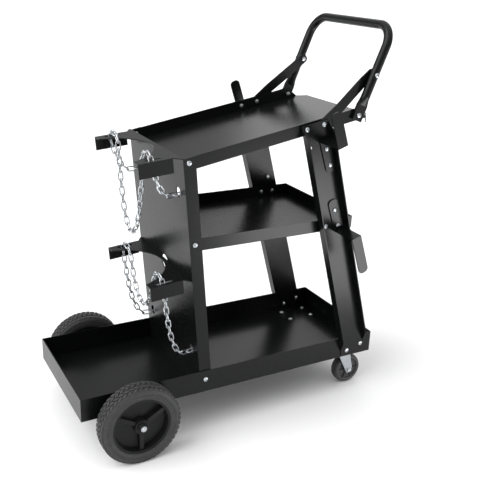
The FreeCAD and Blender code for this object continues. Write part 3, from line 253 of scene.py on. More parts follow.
def tyre_rubber(look):
    """Moulded rubber, a little grey and dusty on the tread."""
    f = Finish("tyre_rubber", specular_ior_level=0.45)
    cloud = f.noise(f.place, 40.0, 4.0)
    grain = f.noise(f.place, 900.0, 3.0)
    dust = f.ramp(f.noise(f.place, 120.0, 5.0, 0.65), 0.45, 0.75)
    shade = f.blend_colours(cloud, rgb(look.rubber_colour), rgb(look.rubber_colour, 1.5))
    f.vary(base_color=f.blend_colours(dust * 0.35, shade, TREAD_DUST),
           roughness=grain * 0.12 + cloud * 0.10 + 0.48)
    f.bump(grain, 0.25, 0.0002)
    return f.material


def moulded_plastic(look):
    """Injection moulded hub plastic with a spark-eroded texture."""
    f = Finish("hub_plastic", specular_ior_level=0.22)
    cloud = f.noise(f.place, 25.0, 3.0)
    texture = f.noise(f.place, 1500.0, 2.0)
    f.vary(base_color=f.blend_colours(cloud, rgb(look.plastic_colour), rgb(look.plastic_colour, 1.4)),
           roughness=texture * 0.10 + cloud * 0.08 + 0.36)
    f.bump(texture, 0.18, 0.00012)
    return f.material


def studio_floor(look):
    """Pale paper floor with a barely visible tooth."""
    f = Finish("studio_floor", roughness=0.9, specular_ior_level=0.15)
    tooth = f.noise(f.place, 40.0, 2.0)
    f.vary(base_color=f.blend_colours(tooth, rgb(look.floor_colour), rgb(look.floor_colour, 1.01)))
    return f.material


FINISH_MAKERS = {"coat": powder_coat, "zinc": zinc_plate, "pressed_zinc": zinc_sheet, "steel": turned_steel,
                 "rubber": tyre_rubber, "plastic": moulded_plastic, "floor": studio_floor}
FINISHES = {}


def finish(name):
    """The material of that name, made when it is first asked for."""
    if name not in FINISHES:
        FINISHES[name] = FINISH_MAKERS[name](bpy.context.scene.cart_look)
    return FINISHES[name]


# ------------------------------------------------------------------ meshes
def put_in_scene(name, mesh):
    piece = bpy.data.objects.new(name, mesh)
    bpy.context.scene.collection.objects.link(piece)
    return piece


def settled(piece):
    """The piece with its modifiers turned into a plain mesh."""
    graph = bpy.context.evaluated_depsgraph_get()
    mesh = bpy.data.meshes.new_from_object(piece.evaluated_get(graph), preserve_all_data_layers=True,
                                           depsgraph=graph)
    piece.modifiers.clear()
    old, piece.data = piece.data, mesh
    bpy.data.meshes.remove(old)
    mesh.name = piece.name
    return piece


def cover(piece, body, nodes, material=None):
    """Makes the piece ride on a body and stand for CAD nodes."""
    if material:
        piece.data.materials.clear()
        piece.data.materials.append(finish(material))
    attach(piece, body)
    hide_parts(*nodes)


def from_bmesh(name, build):
    """A mesh filled by a function that is handed a new bmesh."""
    mesh = bpy.data.meshes.new(name)
    bm = bmesh.new()
    build(bm)
    bm.to_mesh(mesh)
    bm.free()
    return mesh


def turned(name, outline, steps):
    """A closed ring turned about Z from (radius, height) points."""
    def build(bm):
        rings = []
        for k in range(steps):
            a = math.tau * k / steps
            rings.append([bm.verts.new((r * math.cos(a), r * math.sin(a), h)) for r, h in outline])
        count = len(outline)
        for k in range(steps):
            one, two = rings[k], rings[(k + 1) % steps]
            for i in range(count):
                j = (i + 1) % count
                bm.faces.new((one[i], two[i], two[j], one[j]))
        bmesh.ops.remove_doubles(bm, verts=bm.verts, dist=DOUBLE_POINT)
        bmesh.ops.dissolve_degenerate(bm, dist=DOUBLE_POINT, edges=bm.edges)
        bmesh.ops.recalc_face_normals(bm, faces=bm.faces)
    return from_bmesh(name, build)


def skin(bm, rings, capped):
    """Faces from each ring of points to the next, closed by two caps or into a loop."""
    count = len(rings[0])
    following = rings[1:] if capped else rings[1:] + rings[:1]
    for one, two in zip(rings, following):
        for k in range(count):
            bm.faces.new((one[k], one[(k + 1) % count], two[(k + 1) % count], two[k]))
    if capped:
        bm.faces.new(rings[0][::-1])
        bm.faces.new(rings[-1])


def add_block(bm, size):
    """A box of that size about the origin; gives its corner points."""
    block = bmesh.ops.create_cube(bm, size=1.0)["verts"]
    bmesh.ops.scale(bm, verts=block, vec=size)
    return block


def smooth_by_angle(mesh, degrees):
    """Smooth faces, with edges sharper than the angle marked sharp."""
    bm = bmesh.new()
    bm.from_mesh(mesh)
    for face in bm.faces:
        face.smooth = True
    for edge in bm.edges:
        edge.smooth = len(edge.link_faces) == 2 and edge.calc_face_angle(0.0) < math.radians(degrees)
    bm.to_mesh(mesh)
    bm.free()


def merged_copy(node):
    """A CAD node's mesh with its loose triangles joined up."""
    bm = bmesh.new()
    bm.from_mesh(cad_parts[node].data)
    bmesh.ops.remove_doubles(bm, verts=bm.verts, dist=SAME_POINT)
    return bm


def rounded_copy(node, name, radius, segments, degrees, place=Matrix()):
    """A CAD node's shape as a new piece, with whole flat faces and its sharp edges rounded."""
    bm = merged_copy(node)
    bmesh.ops.dissolve_limit(bm, angle_limit=FLAT_ANGLE, verts=bm.verts, edges=bm.edges)
    bm.transform(place)
    mesh = bpy.data.meshes.new(name)
    bm.to_mesh(mesh)
    bm.free()
    piece = put_in_scene(name, mesh)
    bevel = piece.modifiers.new("rounded edge", "BEVEL")
    bevel.width, bevel.segments, bevel.limit_method = radius, segments, "ANGLE"
    bevel.angle_limit = math.radians(degrees)
    piece.data.shade_smooth()
    return piece


def separate_solids(node):
    """The corner points of each separate solid of a CAD node, as arrays."""
    bm = merged_copy(node)
    left, groups = set(bm.verts), []
    while left:
        stack, group = [left.pop()], []
        while stack:
            vert = stack.pop()
            group.append(tuple(vert.co))
            for edge in vert.link_edges:
                other = edge.other_vert(vert)
                if other in left:
                    left.remove(other)
                    stack.append(other)
        groups.append(np.array(group))
    bm.free()
    return sorted(groups, key=lambda group: tuple(np.round(group.mean(0), 4)))


def points_mesh(name, places, attributes):
    """Loose points with vector attributes, for instances to stand on."""
    mesh = bpy.data.meshes.new(name)
    mesh.from_pydata([tuple(p) for p in places], [], [])
    for key, vectors in attributes.items():
        layer = mesh.attributes.new(key, "FLOAT_VECTOR", "POINT")
        layer.data.foreach_set("vector", np.array(vectors, float).ravel())
    return mesh


# ------------------------------------------------------------------ geometry trees
class Maker(Tree):
    """A geometry tree with named inputs, whose result is realised and gets one material."""

    def __init__(self, name, inputs):
        self.group = bpy.data.node_groups.new(name, "GeometryNodeTree")
        super().__init__(self.group)
        face = self.group.interface
        face.new_socket("Geometry", in_out="OUTPUT", socket_type="NodeSocketGeometry")
        face.new_socket("Geometry", in_out="INPUT", socket_type="NodeSocketGeometry")
        self.identifiers = {}
        for label, kind in inputs.items():
            socket = face.new_socket(label, in_out="INPUT", socket_type="NodeSocket" + kind)
            self.identifiers[label] = socket.identifier
        self.given = self.add("NodeGroupInput")

    def attribute(self, name):
        return self.add("GeometryNodeInputNamedAttribute", {"data_type": "FLOAT_VECTOR"}, {"Name": name})[0]

    def shape(self, label):
        """The mesh of an object input."""
        return self.add("GeometryNodeObjectInfo", None, {"Object": self.given[label]})["Geometry"]

    def facing(self, axis, vector, rotation=None, pivot="AUTO"):
        sockets = {"Vector": vector}
        if rotation:
            sockets["Rotation"] = rotation
        return self.add("FunctionNodeAlignEulerToVector", {"axis": axis, "pivot_axis": pivot}, sockets)[0]

    def vector(self, operation, *parts):
        node = self.add("ShaderNodeVectorMath", {"operation": operation})
        for k, part in enumerate(parts):
            socket = node.node.inputs["Scale"] if operation == "SCALE" and k == 1 else node.node.inputs[k]
            self.feed(socket, part)
        return node[0]

    def stand(self, points, shape, rotation=None, scale=None):
        sockets = {"Points": points, "Instance": shape}
        if rotation:
            sockets["Rotation"] = rotation
        if scale:
            sockets["Scale"] = scale
        return self.add("GeometryNodeInstanceOnPoints", None, sockets)[0]

    def shifted(self, points, offset):
        return self.add("GeometryNodeSetPosition", None, {"Geometry": points, "Offset": offset})[0]

    def finish_with(self, *shapes):
        joined = self.add("GeometryNodeJoinGeometry")
        for shape in shapes:
            self.group.links.new(shape.socket, joined.node.inputs[0])
        real = self.add("GeometryNodeRealizeInstances", None, {0: joined[0]})[0]
        done = self.add("GeometryNodeSetMaterial", None,
                        {"Geometry": real, "Material": self.given["Material"]})[0]
        self.add("NodeGroupOutput", None, {0: done})

    def run(self, piece, **values):
        """Puts the tree on a piece with these input values, and leaves a plain mesh."""
        modifier = piece.modifiers.new("shape", "NODES")
        modifier.node_group = self.group
        for label, value in values.items():
            modifier[self.identifiers[label.replace("_", " ")]] = value
        return settled(piece)


def fastener_maker():
    """Pan head, shank and nut on points that hold the head's direction and the grip."""
    t = Maker("fasteners", {"Head": "Object", "Shank": "Object", "Nut": "Object", "Material": "Material"})
    out, grip = t.attribute("out"), t.attribute("grip")
    turn = t.attribute("turn")
    points = t.given["Geometry"]
    facing = t.facing("Z", out)
    facing_in = t.facing("Z", t.vector("SCALE", out, -1.0))
    spin = t.add("FunctionNodeRotateEuler", {"space": "LOCAL"}, {"Rotation": facing, "Rotate By": turn})[0]
    spin_in = t.add("FunctionNodeRotateEuler", {"space": "LOCAL"},
                    {"Rotation": facing_in, "Rotate By": turn})[0]
    length = t.vector("MULTIPLY", grip, (0.0, 0.0, 1.0))
    scale = t.vector("ADD", length, (1.0, 1.0, 0.0))
    away = t.add("ShaderNodeSeparateXYZ", None, {0: grip})[2]
    t.finish_with(
        t.stand(points, t.shape("Head"), spin),
        t.stand(points, t.shape("Shank"), facing_in, scale),
        t.stand(t.shifted(points, t.vector("SCALE", out, 0.0 - away)), t.shape("Nut"), spin_in))
    return t


def link_maker():
    """Chain links on points that hold their long axis and the normal of their plane."""
    t = Maker("chain links", {"Link": "Object", "Material": "Material"})
    lying = t.facing("X", t.attribute("along"))
    turned_link = t.facing("Z", t.attribute("normal"), lying, "X")
    t.finish_with(t.stand(t.given["Geometry"], t.shape("Link"), turned_link))
    return t


def ring_maker():
    """Copies of a shape in a ring about Z, added to the body they stand on."""
    t = Maker("ring of parts", {"Part": "Object", "Count": "Int", "Material": "Material"})
    points = t.add("GeometryNodePoints", None, {"Count": t.given["Count"]})[0]
    index = t.add("GeometryNodeInputIndex")[0]
    angle = index * math.tau / t.given["Count"]
    turn = t.add("ShaderNodeCombineXYZ", None, {2: angle})[0]
    t.finish_with(t.given["Geometry"], t.stand(points, t.shape("Part"), turn))
    return t


# ------------------------------------------------------------------ settings
class CartLook(bpy.types.PropertyGroup):
    """Colours and gloss of the cart's finishes."""
    coat_colour: FloatVectorProperty(name="Coat", description="Colour of the powder coat", subtype="COLOR",
                                     size=3, default=(0.0026, 0.0029, 0.0030))
    coat_roughness: FloatProperty(name="Coat roughness", description="Roughness of the powder coat",
                                  default=0.27, min=0, max=1, subtype="FACTOR")
    coat_shine: FloatProperty(name="Coat shine", description="Specular level of the powder coat",
                              default=0.21, min=0, max=1, subtype="FACTOR")
    zinc_colour: FloatVectorProperty(name="Zinc", description="Colour of zinc plate", subtype="COLOR",
                                     size=3, default=(0.40, 0.42, 0.44))
    rubber_colour: FloatVectorProperty(name="Rubber", description="Colour of the tyres", subtype="COLOR",
                                       size=3, default=(0.022, 0.022, 0.023))
    plastic_colour: FloatVectorProperty(name="Plastic", description="Colour of the hubs", subtype="COLOR",
                                        size=3, default=(0.0055, 0.0057, 0.006))
    floor_colour: FloatVectorProperty(name="Floor", description="Colour of the studio floor", subtype="COLOR",
                                      size=3, default=(0.93, 0.93, 0.93))


class CartSizes(bpy.types.PropertyGroup):
    """Sizes of the details that the looks add to the frame."""
    edge_radius: FloatProperty(name="Edge radius", description="Coated edge of the folded sheet",
                               default=0.45 * MM, unit="LENGTH", precision=5)
    head_radius: FloatProperty(name="Head radius", description="Pan head of the screws",
                               default=5.6 * MM, unit="LENGTH", precision=5)
    head_height: FloatProperty(name="Head height", description="Pan head of the screws",
                               default=3.4 * MM, unit="LENGTH", precision=5)
    nut_width: FloatProperty(name="Nut width", description="Across the flats of the nuts",
                             default=9.6 * MM, unit="LENGTH", precision=5)
    nut_height: FloatProperty(name="Nut height", description="Height of the nuts",
                              default=4.6 * MM, unit="LENGTH", precision=5)
    shank_radius: FloatProperty(name="Shank radius", description="Thread of the screws",
                                default=2.9 * MM, unit="LENGTH", precision=5)
    wire_radius: FloatProperty(name="Wire radius", description="Wire of the chain links",
                               default=1.45 * MM, unit="LENGTH", precision=5)
    tread_depth: FloatProperty(name="Tread depth", description="Depth of the tyre tread",
                               default=2.6 * MM, unit="LENGTH", precision=5)
    tread_lugs: IntProperty(name="Tread lugs", description="Lugs round each row of the tread",
                            default=46, min=12)


class StudioSetup(bpy.types.PropertyGroup):
    """Camera and light."""
    lens: FloatProperty(name="Lens", description="Focal length on a 36 mm sensor", default=56.66,
                        unit="CAMERA")
    horizon_strength: FloatProperty(name="Horizon", description="Surroundings at eye level", default=0.42)
    sky_strength: FloatProperty(name="Overhead", description="Surroundings overhead", default=1.20)
    key_strength: FloatProperty(name="Key", description="Strength of the wide soft sun", default=2.5)
    side_power: FloatProperty(name="Side", description="Power of the soft light beside the bottle platform",
                              default=10.0, unit="POWER")
    low_power: FloatProperty(name="Low", description="Power of the low soft light before the near leg",
                             default=5.0, unit="POWER")
    back_power: FloatProperty(name="Back", description="Power of the soft light behind the handle",
                              default=5.0, unit="POWER")


# ------------------------------------------------------------------ operators
class CART_OT_studio(bpy.types.Operator):
    """Adds the pale floor, the soft lights and the camera"""
    bl_idname = "cart.studio"
    bl_label = "Studio"

    def execute(self, context):
        scene, setup = context.scene, context.scene.cart_studio
        scene.view_settings.view_transform = "Standard"
        scene.world = self.surroundings(setup)

        def build_floor(bm):
            bmesh.ops.create_grid(bm, x_segments=4, y_segments=4, size=FAR_AWAY)
        floor = put_in_scene("floor", from_bmesh("floor", build_floor))
        floor.data.transform(Matrix.Translation((0, 0, CAD_BOX[0].z - FLOOR_DROP)))
        floor.data.materials.append(finish("floor"))

        sun = bpy.data.objects.new("key", bpy.data.lights.new("key", "SUN"))
        sun.data.energy, sun.data.angle = setup.key_strength, KEY_SPREAD
        scene.collection.objects.link(sun)
        sun.rotation_euler = KEY_FROM.to_track_quat("Z", "Y").to_euler()
        for name, (place, target, size) in SOFT_LIGHTS.items():
            self.soft_light(name, place, target, size, getattr(setup, name + "_power"))

        camera = bpy.data.objects.new("camera", bpy.data.cameras.new("camera"))
        scene.collection.objects.link(camera)
        camera.data.lens = setup.lens
        camera.data.sensor_width = SENSOR_WIDTH
        camera.location = CAMERA_PLACE
        level = Matrix.Rotation(CAMERA_YAW - math.pi / 2, 4, "Z")
        look = level @ Matrix.Rotation(math.pi / 2 + CAMERA_PITCH, 4, "X")
        camera.rotation_euler = (look @ Matrix.Rotation(CAMERA_ROLL, 4, "Z")).to_euler()
        camera.data.clip_end = FAR_AWAY
        scene.camera = camera
        return {"FINISHED"}

    def surroundings(self, setup):
        """Pale surroundings, dim at eye level and brighter overhead."""
        world = bpy.data.worlds.new("studio")
        world.use_nodes = True
        t = Tree(world.node_tree)
        up = t.add("ShaderNodeSeparateXYZ", None, {0: t.add("ShaderNodeTexCoord")["Generated"]})[2]
        span = setup.sky_strength - setup.horizon_strength
        strength = t.ramp(up, SKY_START, SKY_FULL) * span + setup.horizon_strength
        t.feed(world.node_tree.nodes["Background"].inputs["Strength"], strength)
        world.node_tree.nodes["Background"].inputs["Color"].default_value = WHITE
        return world

    def soft_light(self, name, place, target, size, power):
        """A round light that shows in gloss only, and doesn't light the dull part of a surface."""
        data = bpy.data.lights.new(name, "AREA")
        data.shape, data.size, data.energy = "DISK", size, power
        lamp = bpy.data.objects.new(name, data)
        bpy.context.scene.collection.objects.link(lamp)
        lamp.location = place
        lamp.visible_diffuse = False
        lamp.rotation_euler = (Vector(place) - Vector(target)).to_track_quat("Z", "Y").to_euler()


class CART_OT_sheet_parts(bpy.types.Operator):
    """Gives every folded sheet part coated, slightly rounded edges"""
    bl_idname = "cart.sheet_parts"
    bl_label = "Sheet parts"

    def execute(self, context):
        radius = context.scene.cart_sizes.edge_radius
        for node in SHEET_NODES:
            piece = rounded_copy(node, node + "_coated", radius, 2, 38)
            even = piece.modifiers.new("flat faces", "WEIGHTED_NORMAL")
            even.mode, even.weight, even.keep_sharp = "FACE_AREA", 60, False
            settled(piece)
            cover(piece, "cart", [node], "coat")
        return {"FINISHED"}


class CART_OT_frame_finishes(bpy.types.Operator):
    """Gives the CAD nodes that stay visible their finishes"""
    bl_idname = "cart.frame_finishes"
    bl_label = "Frame finishes"

    def execute(self, context):
        kept = {"handle_tube": "coat", "rear_axle": "zinc", "chain_pins": "zinc"}
        for side, _ in SIDES:
            kept.update({f"axle_collar_{side}": "steel",
                         f"leg_spacers_{side}": "zinc", f"caster_mount_{side}": "pressed_zinc",
                         f"caster_fork_{side}": "pressed_zinc", f"caster_axle_{side}": "zinc"})
        for node, name in kept.items():
            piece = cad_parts[node]
            piece.data.materials.clear()
            piece.data.materials.append(finish(name))
        return {"FINISHED"}


class CART_OT_fasteners(bpy.types.Operator):
    """Replaces the plain screws with pan heads with a cross recess, threads and hexagon nuts"""
    bl_idname = "cart.fasteners"
    bl_label = "Fasteners"

    SCREW_TURN = 0.9            # radians from one screw's recess to the next, so that they lie unevenly
    GROUP_TURN = 0.4            # the same from group to group, for each letter of the node's name
    THREAD_END = 1.4 * MM       # thread that stands out of the nut
    THREAD_PITCH = 0.45 * MM
    HEAD_EDGE = 0.30            # upright share of the head's height, under the dome
    DOME_ANGLES = (0.35, 0.75, 1.1, 1.35)
    DOME_INSET = 0.995
    RECESS_LENGTH, RECESS_WIDTH, RECESS_HEIGHT = 1.25, 0.30, 1.3    # in head radii, and head heights
    # the nut's two faces, in shares of half its flats, and where its chamfers end, in shares of its height
    NUT_FACE, NUT_TOP_FACE, NUT_LOW, NUT_HIGH = 0.96, 0.92, 0.12, 0.86

    def execute(self, context):
        sizes = context.scene.cart_sizes
        head, shank, nut = self.pan_head(sizes), self.shank(sizes), self.nut(sizes)
        under_head = sizes.head_height + sizes.nut_height + self.THREAD_END
        maker = fastener_maker()
        for node in SIDE_SCREW_NODES + ["caster_screws"]:
            places, outs, grips, turns = [], [], [], []
            for number, solid in enumerate(separate_solids(node)):
                place, out, length = self.seat(node, solid, sizes.head_height)
                places.append(place)
                outs.append(out)
                grips.append((0, 0, length - under_head))
                turns.append((0, 0, self.SCREW_TURN * number + self.GROUP_TURN * len(node)))
            piece = put_in_scene(node + "_detailed",
                                 points_mesh(node, places, {"out": outs, "grip": grips, "turn": turns}))
            maker.run(piece, Head=head, Shank=shank, Nut=nut, Material=finish("zinc"))
            smooth_by_angle(piece.data, 35)
            cover(piece, "cart", [node])
        for master in (head, shank, nut):
            bpy.data.objects.remove(master)
        return {"FINISHED"}

    def seat(self, node, solid, head_height):
        """Where a screw's head sits, the way it faces, and the screw's whole length."""
        low, high = solid.min(0), solid.max(0)
        place, out = (low + high) / 2, np.zeros(3)
        upright = node == "caster_screws"
        axis = 2 if upright else 1
        sign = 1 if upright or place[1] > 0 else -1
        out[axis] = sign
        place[axis] = (high if sign > 0 else low)[axis] - sign * head_height
        return place, out, high[axis] - low[axis]

    def pan_head(self, sizes):
        r, h, edge = sizes.head_radius, sizes.head_height, sizes.head_height * self.HEAD_EDGE
        outline = [(0.0, 0.0), (r, 0.0), (r, edge)]
        outline += [(r * math.cos(a) * self.DOME_INSET, edge + (h - edge) * math.sin(a))
                    for a in self.DOME_ANGLES]
        head = put_in_scene("head_master", turned("head_master", outline + [(0.0, h)], 24))

        def build_cross(bm):
            for turn in (0, math.pi / 2):
                arm = add_block(bm, (r * self.RECESS_LENGTH, r * self.RECESS_WIDTH, h * self.RECESS_HEIGHT))
                bmesh.ops.rotate(bm, verts=arm, matrix=Matrix.Rotation(turn, 3, "Z"))
                bmesh.ops.translate(bm, verts=arm, vec=(0, 0, h))
        cross = put_in_scene("cross_master", from_bmesh("cross_master", build_cross))
        cut = head.modifiers.new("recess", "BOOLEAN")
        cut.operation, cut.object, cut.solver, cut.use_self = "DIFFERENCE", cross, "EXACT", True
        settled(head)
        bpy.data.objects.remove(cross)
        return head

    def shank(self, sizes):
        """A shank of unit length, which the tree stretches to each screw's grip."""
        r = sizes.shank_radius
        return put_in_scene("shank_master", turned("shank_master", [(0, 0), (r, 0), (r, 1.0), (0, 1.0)], 16))

    def nut(self, sizes):
        """A hexagon nut with the end of the thread standing out of it."""
        h, flat, r = sizes.nut_height, sizes.nut_width / 2, sizes.shank_radius
        corner = flat / math.cos(math.pi / 6)
        steps = ((flat * self.NUT_FACE, 0), (corner, h * self.NUT_LOW), (corner, h * self.NUT_HIGH),
                 (flat * self.NUT_TOP_FACE, h))
        thread = [(0, h * 0.9)]
        for k in range(3):
            thread += [(r, h + k * self.THREAD_PITCH), (r * 0.88, h + (k + 0.5) * self.THREAD_PITCH)]
        thread += [(r * 0.8, h + self.THREAD_END), (0, h + self.THREAD_END)]

        def build(bm):
            turns = [math.tau * k / 6 for k in range(6)]
            skin(bm, [[bm.verts.new((radius * math.cos(a), radius * math.sin(a), height)) for a in turns]
                      for radius, height in steps], capped=True)
            bm.from_mesh(turned("thread_end", thread, 16))
            bmesh.ops.recalc_face_normals(bm, faces=bm.faces)
        return put_in_scene("nut_master", from_bmesh("nut_master", build))


class CART_OT_chains(bpy.types.Operator):
    """Replaces the two chains with smooth links that have a weld on one side"""
    bl_idname = "cart.chains"
    bl_label = "Chains"

    BEND_STEPS = 8
    WIRE_SIDES = 10
    # places along the welded side, and how much the wire swells there
    WELD = ((1.3 * MM, 1.0), (0.6 * MM, 1.10), (-0.6 * MM, 1.10), (-1.3 * MM, 1.0))

    def execute(self, context):
        chains = {node: [self.link_frame(solid) for solid in separate_solids(node)]
                  for node in ("upper_chain", "lower_chain")}
        _, width, length = chains["upper_chain"][0][3]
        link = self.link(length, width, context.scene.cart_sizes.wire_radius)
        maker = link_maker()
        for node, links in chains.items():
            middles, alongs, normals, _ = zip(*links)
            points = points_mesh(node, middles, {"along": alongs, "normal": normals})
            piece = put_in_scene(node + "_links", points)
            maker.run(piece, Link=link, Material=finish("zinc"))
            for face in piece.data.polygons:
                face.use_smooth = True
            cover(piece, "cart", [node])
        bpy.data.objects.remove(link)
        return {"FINISHED"}

    def link_frame(self, solid):
        """A link's middle, its long axis, the normal of its plane, and its extents from small to large."""
        mean = solid.mean(0)
        _, _, axes = np.linalg.svd(solid - mean, full_matrices=False)
        centred = (solid - mean) @ axes.T
        extent = centred.max(0) - centred.min(0)
        middle = mean + ((centred.max(0) + centred.min(0)) / 2) @ axes
        return middle, axes[int(np.argmax(extent))], axes[int(np.argmin(extent))], sorted(extent)

    def link(self, length, width, wire):
        """An oval of round wire in the XY plane, a little thicker at its weld."""
        bend = width / 2 - wire
        straight = (length - width) / 2
        path = []
        for centre, start in ((straight, -math.pi / 2), (-straight, math.pi / 2)):
            for k in range(self.BEND_STEPS):
                a = start + math.pi * k / (self.BEND_STEPS - 1)
                path.append((Vector((centre + bend * math.cos(a), bend * math.sin(a), 0)),
                             Vector((math.cos(a), math.sin(a), 0)), 1.0))
            if centre > 0:
                for x, swell in self.WELD:
                    path.append((Vector((x, bend, 0)), Vector((0, 1, 0)), swell))

        def build(bm):
            turns = [math.tau * k / self.WIRE_SIDES for k in range(self.WIRE_SIDES)]
            up = Vector((0, 0, 1))
            skin(bm, [[bm.verts.new(centre + (side * math.cos(a) + up * math.sin(a)) * wire * swell)
                       for a in turns] for centre, side, swell in path], capped=False)
            bmesh.ops.recalc_face_normals(bm, faces=bm.faces)
        return put_in_scene("link_master", from_bmesh("link_master", build))


def axle_frame(node, side):
    """Matrix that puts a part turned about Z, with Z outward, on a wheel's axle and inner face."""
    low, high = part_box(node)
    middle = (low + high) / 2
    inner = low.y if side > 0 else high.y
    return Matrix.Translation((middle.x, inner, middle.z)) @ Matrix.Rotation(-side * math.pi / 2, 4, "X")


class CART_OT_rear_tyres(bpy.types.Operator):
    """Makes the rear tyres with ribbed side walls and a slanted block tread"""
    bl_idname = "cart.rear_tyres"
    bl_label = "Rear tyres"
    ROWS = 4                    # of blocks across the tread
    TREAD_EDGE = 3.0 * MM       # side wall beside the tread
    GROOVE = 1.5 * MM           # between two rows
    SLANT, HALF_BLOCK = 0.55, 0.36  # a block's slant and half length, in pitches
    CHAMFER = 0.5 * MM
    SUNK = 0.6 * MM             # how deep the blocks start in the carcass
    SHOULDER_DROP = 0.7 * MM    # how much lower the two outer rows are

    def execute(self, context):
        sizes = context.scene.cart_sizes
        maker = ring_maker()
        for side, sign in SIDES:
            node = "rear_tyre_" + side
            low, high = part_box(node)
            hub_low, hub_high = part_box("rear_hub_" + side)
            radius, width = (high.z - low.z) / 2, high.y - low.y
            bead = (hub_high.z - hub_low.z) / 2
            lug = self.lugs(radius, width, sizes)
            piece = put_in_scene(node + "_treaded", self.carcass(radius, width, bead, sizes))
            maker.run(piece, Part=lug, Count=sizes.tread_lugs, Material=finish("rubber"))
            piece.data.transform(axle_frame(node, sign))
            smooth_by_angle(piece.data, 30)
            cover(piece, "rear_wheel_" + side, [node])
            bpy.data.objects.remove(lug)
        return {"FINISHED"}

    def carcass(self, radius, width, bead, sizes):
        """The tyre without its blocks: rim flange, raised ring, groove and shoulder on each side."""
        floor = radius - sizes.tread_depth
        flange = [(bead, 2.0 * MM), (bead + 3 * MM, 2.0 * MM), (bead + 5 * MM, 0.6 * MM)]
        ring = [(bead + 6.0 * MM, 0.0), (bead + 9.5 * MM, 0.0)]
        groove = [(bead + 10.1 * MM, 0.7 * MM), (bead + 11.5 * MM, 0.7 * MM), (bead + 12.1 * MM, 0.0)]
        shoulder = [(radius - 9.5 * MM, 0.2 * MM), (radius - 6.5 * MM, 1.0 * MM),
                    (radius - 4.4 * MM, 2.6 * MM), (floor, 5.4 * MM)]
        side = flange + ring + groove + shoulder
        outline = side + [(floor, width * share) for share in (0.35, 0.65)]
        outline += [(r, width - depth) for r, depth in side[::-1]]
        return turned("carcass", outline, 120)

    def lugs(self, radius, width, sizes):
        """One pitch of the tread: slanted blocks side by side across the tyre."""
        pitch = math.tau / sizes.tread_lugs
        row = (width - 2 * self.TREAD_EDGE) / self.ROWS
        half = pitch * self.HALF_BLOCK
        base = radius - sizes.tread_depth - self.SUNK

        def build(bm):
            for number in range(self.ROWS):
                low = self.TREAD_EDGE + number * row + self.GROOVE / 2
                high = self.TREAD_EDGE + (number + 1) * row - self.GROOVE / 2
                slant = self.SLANT * pitch * (1 if number % 2 else -1)
                phase = pitch * 0.5 * (number % 2)
                top = radius - (self.SHOULDER_DROP if number in (0, self.ROWS - 1) else 0.0)
                rings = []
                for height, inset in ((base, -self.CHAMFER), (top - self.CHAMFER, 0.0), (top, self.CHAMFER)):
                    ring = []
                    near, far = low + inset, high - inset
                    for end, way in ((near, -1), (near, 1), (far, 1), (far, -1)):
                        lean = slant * ((end - low) / (high - low) - 0.5)
                        a = phase + lean + way * (half - inset / radius)
                        ring.append(bm.verts.new((height * math.cos(a), height * math.sin(a), end)))
                    rings.append(ring)
                skin(bm, rings, capped=True)
            bmesh.ops.recalc_face_normals(bm, faces=bm.faces)
        return put_in_scene("lug_master", from_bmesh("lug_master", build))


class CART_OT_rear_hubs(bpy.types.Operator):
    """Makes the dished hubs with three ribs and a ribbed centre ring, and the push-on axle caps"""
    bl_idname = "cart.rear_hubs"
    bl_label = "Rear hubs"
    EDGE_RADIUS = 0.8 * MM
    RING_RIBS = 8
    RIB_SIZE = (3.2 * MM, 1.8 * MM, 1.6 * MM)
    RIB_RADIUS = 13.4 * MM      # from the axle to the middle of a ring rib
    RIB_SUNK = 0.2 * MM
    PIN_RADIUS = 5.2 * MM       # the axle's end in its cap

    def execute(self, context):
        maker = ring_maker()
        for side, sign in SIDES:
            node = "rear_hub_" + side
            place = axle_frame(node, sign)
            piece = rounded_copy(node, node + "_moulded", self.EDGE_RADIUS, 3, 30, place.inverted())
            settled(piece)
            low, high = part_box(node)
            rib = self.ring_rib(high.y - low.y)
            maker.run(piece, Part=rib, Count=self.RING_RIBS, Material=finish("plastic"))
            piece.data.transform(place)
            smooth_by_angle(piece.data, 32)
            cover(piece, "rear_wheel_" + side, [node])
            bpy.data.objects.remove(rib)
            self.end_cap("axle_cap_" + side, sign)
        return {"FINISHED"}

    def end_cap(self, node, sign):
        """The black push-on cap, with the end of the axle in its middle."""
        low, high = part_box(node)
        rim, length, pin = (high.z - low.z) / 2, high.y - low.y, self.PIN_RADIUS
        flange = [(pin, 0.0), (rim, 0.0), (rim, 1.4 * MM),
                  (rim - 0.5 * MM, 2.0 * MM), (rim - 1.5 * MM, 2.2 * MM)]
        crown = [(rim - 2.2 * MM, length * 0.55), (rim - 3.2 * MM, length * 0.68),
                 (pin + 0.9 * MM, length * 0.68), (pin, length * 0.62)]
        cap = put_in_scene(node + "_turned", turned(node + "_turned", flange + crown, 48))
        dome = [(0.0, 0.0), (pin, 0.0), (pin, length * 0.80), (pin * 0.86, length * 0.90),
                (pin * 0.45, length * 0.98), (0.0, length)]
        end = put_in_scene(node + "_pin", turned(node + "_pin", dome, 32))
        for piece, name, slot in ((cap, "plastic", "hub_plastic"), (end, "zinc", "zinc_hardware")):
            piece.data.transform(axle_frame(node, sign))
            smooth_by_angle(piece.data, 30)
            cover(piece, "cart", [node], name)

    def ring_rib(self, depth):
        """One of the ribs of the centre ring, standing on the outer boss."""
        def build(bm):
            add_block(bm, self.RIB_SIZE)
            bmesh.ops.bevel(bm, geom=bm.edges[:], offset=0.3 * MM, segments=2, affect="EDGES")
            bmesh.ops.translate(bm, verts=bm.verts[:], vec=(self.RIB_RADIUS, 0, depth - self.RIB_SUNK))
        return put_in_scene("rib_master", from_bmesh("rib_master", build))


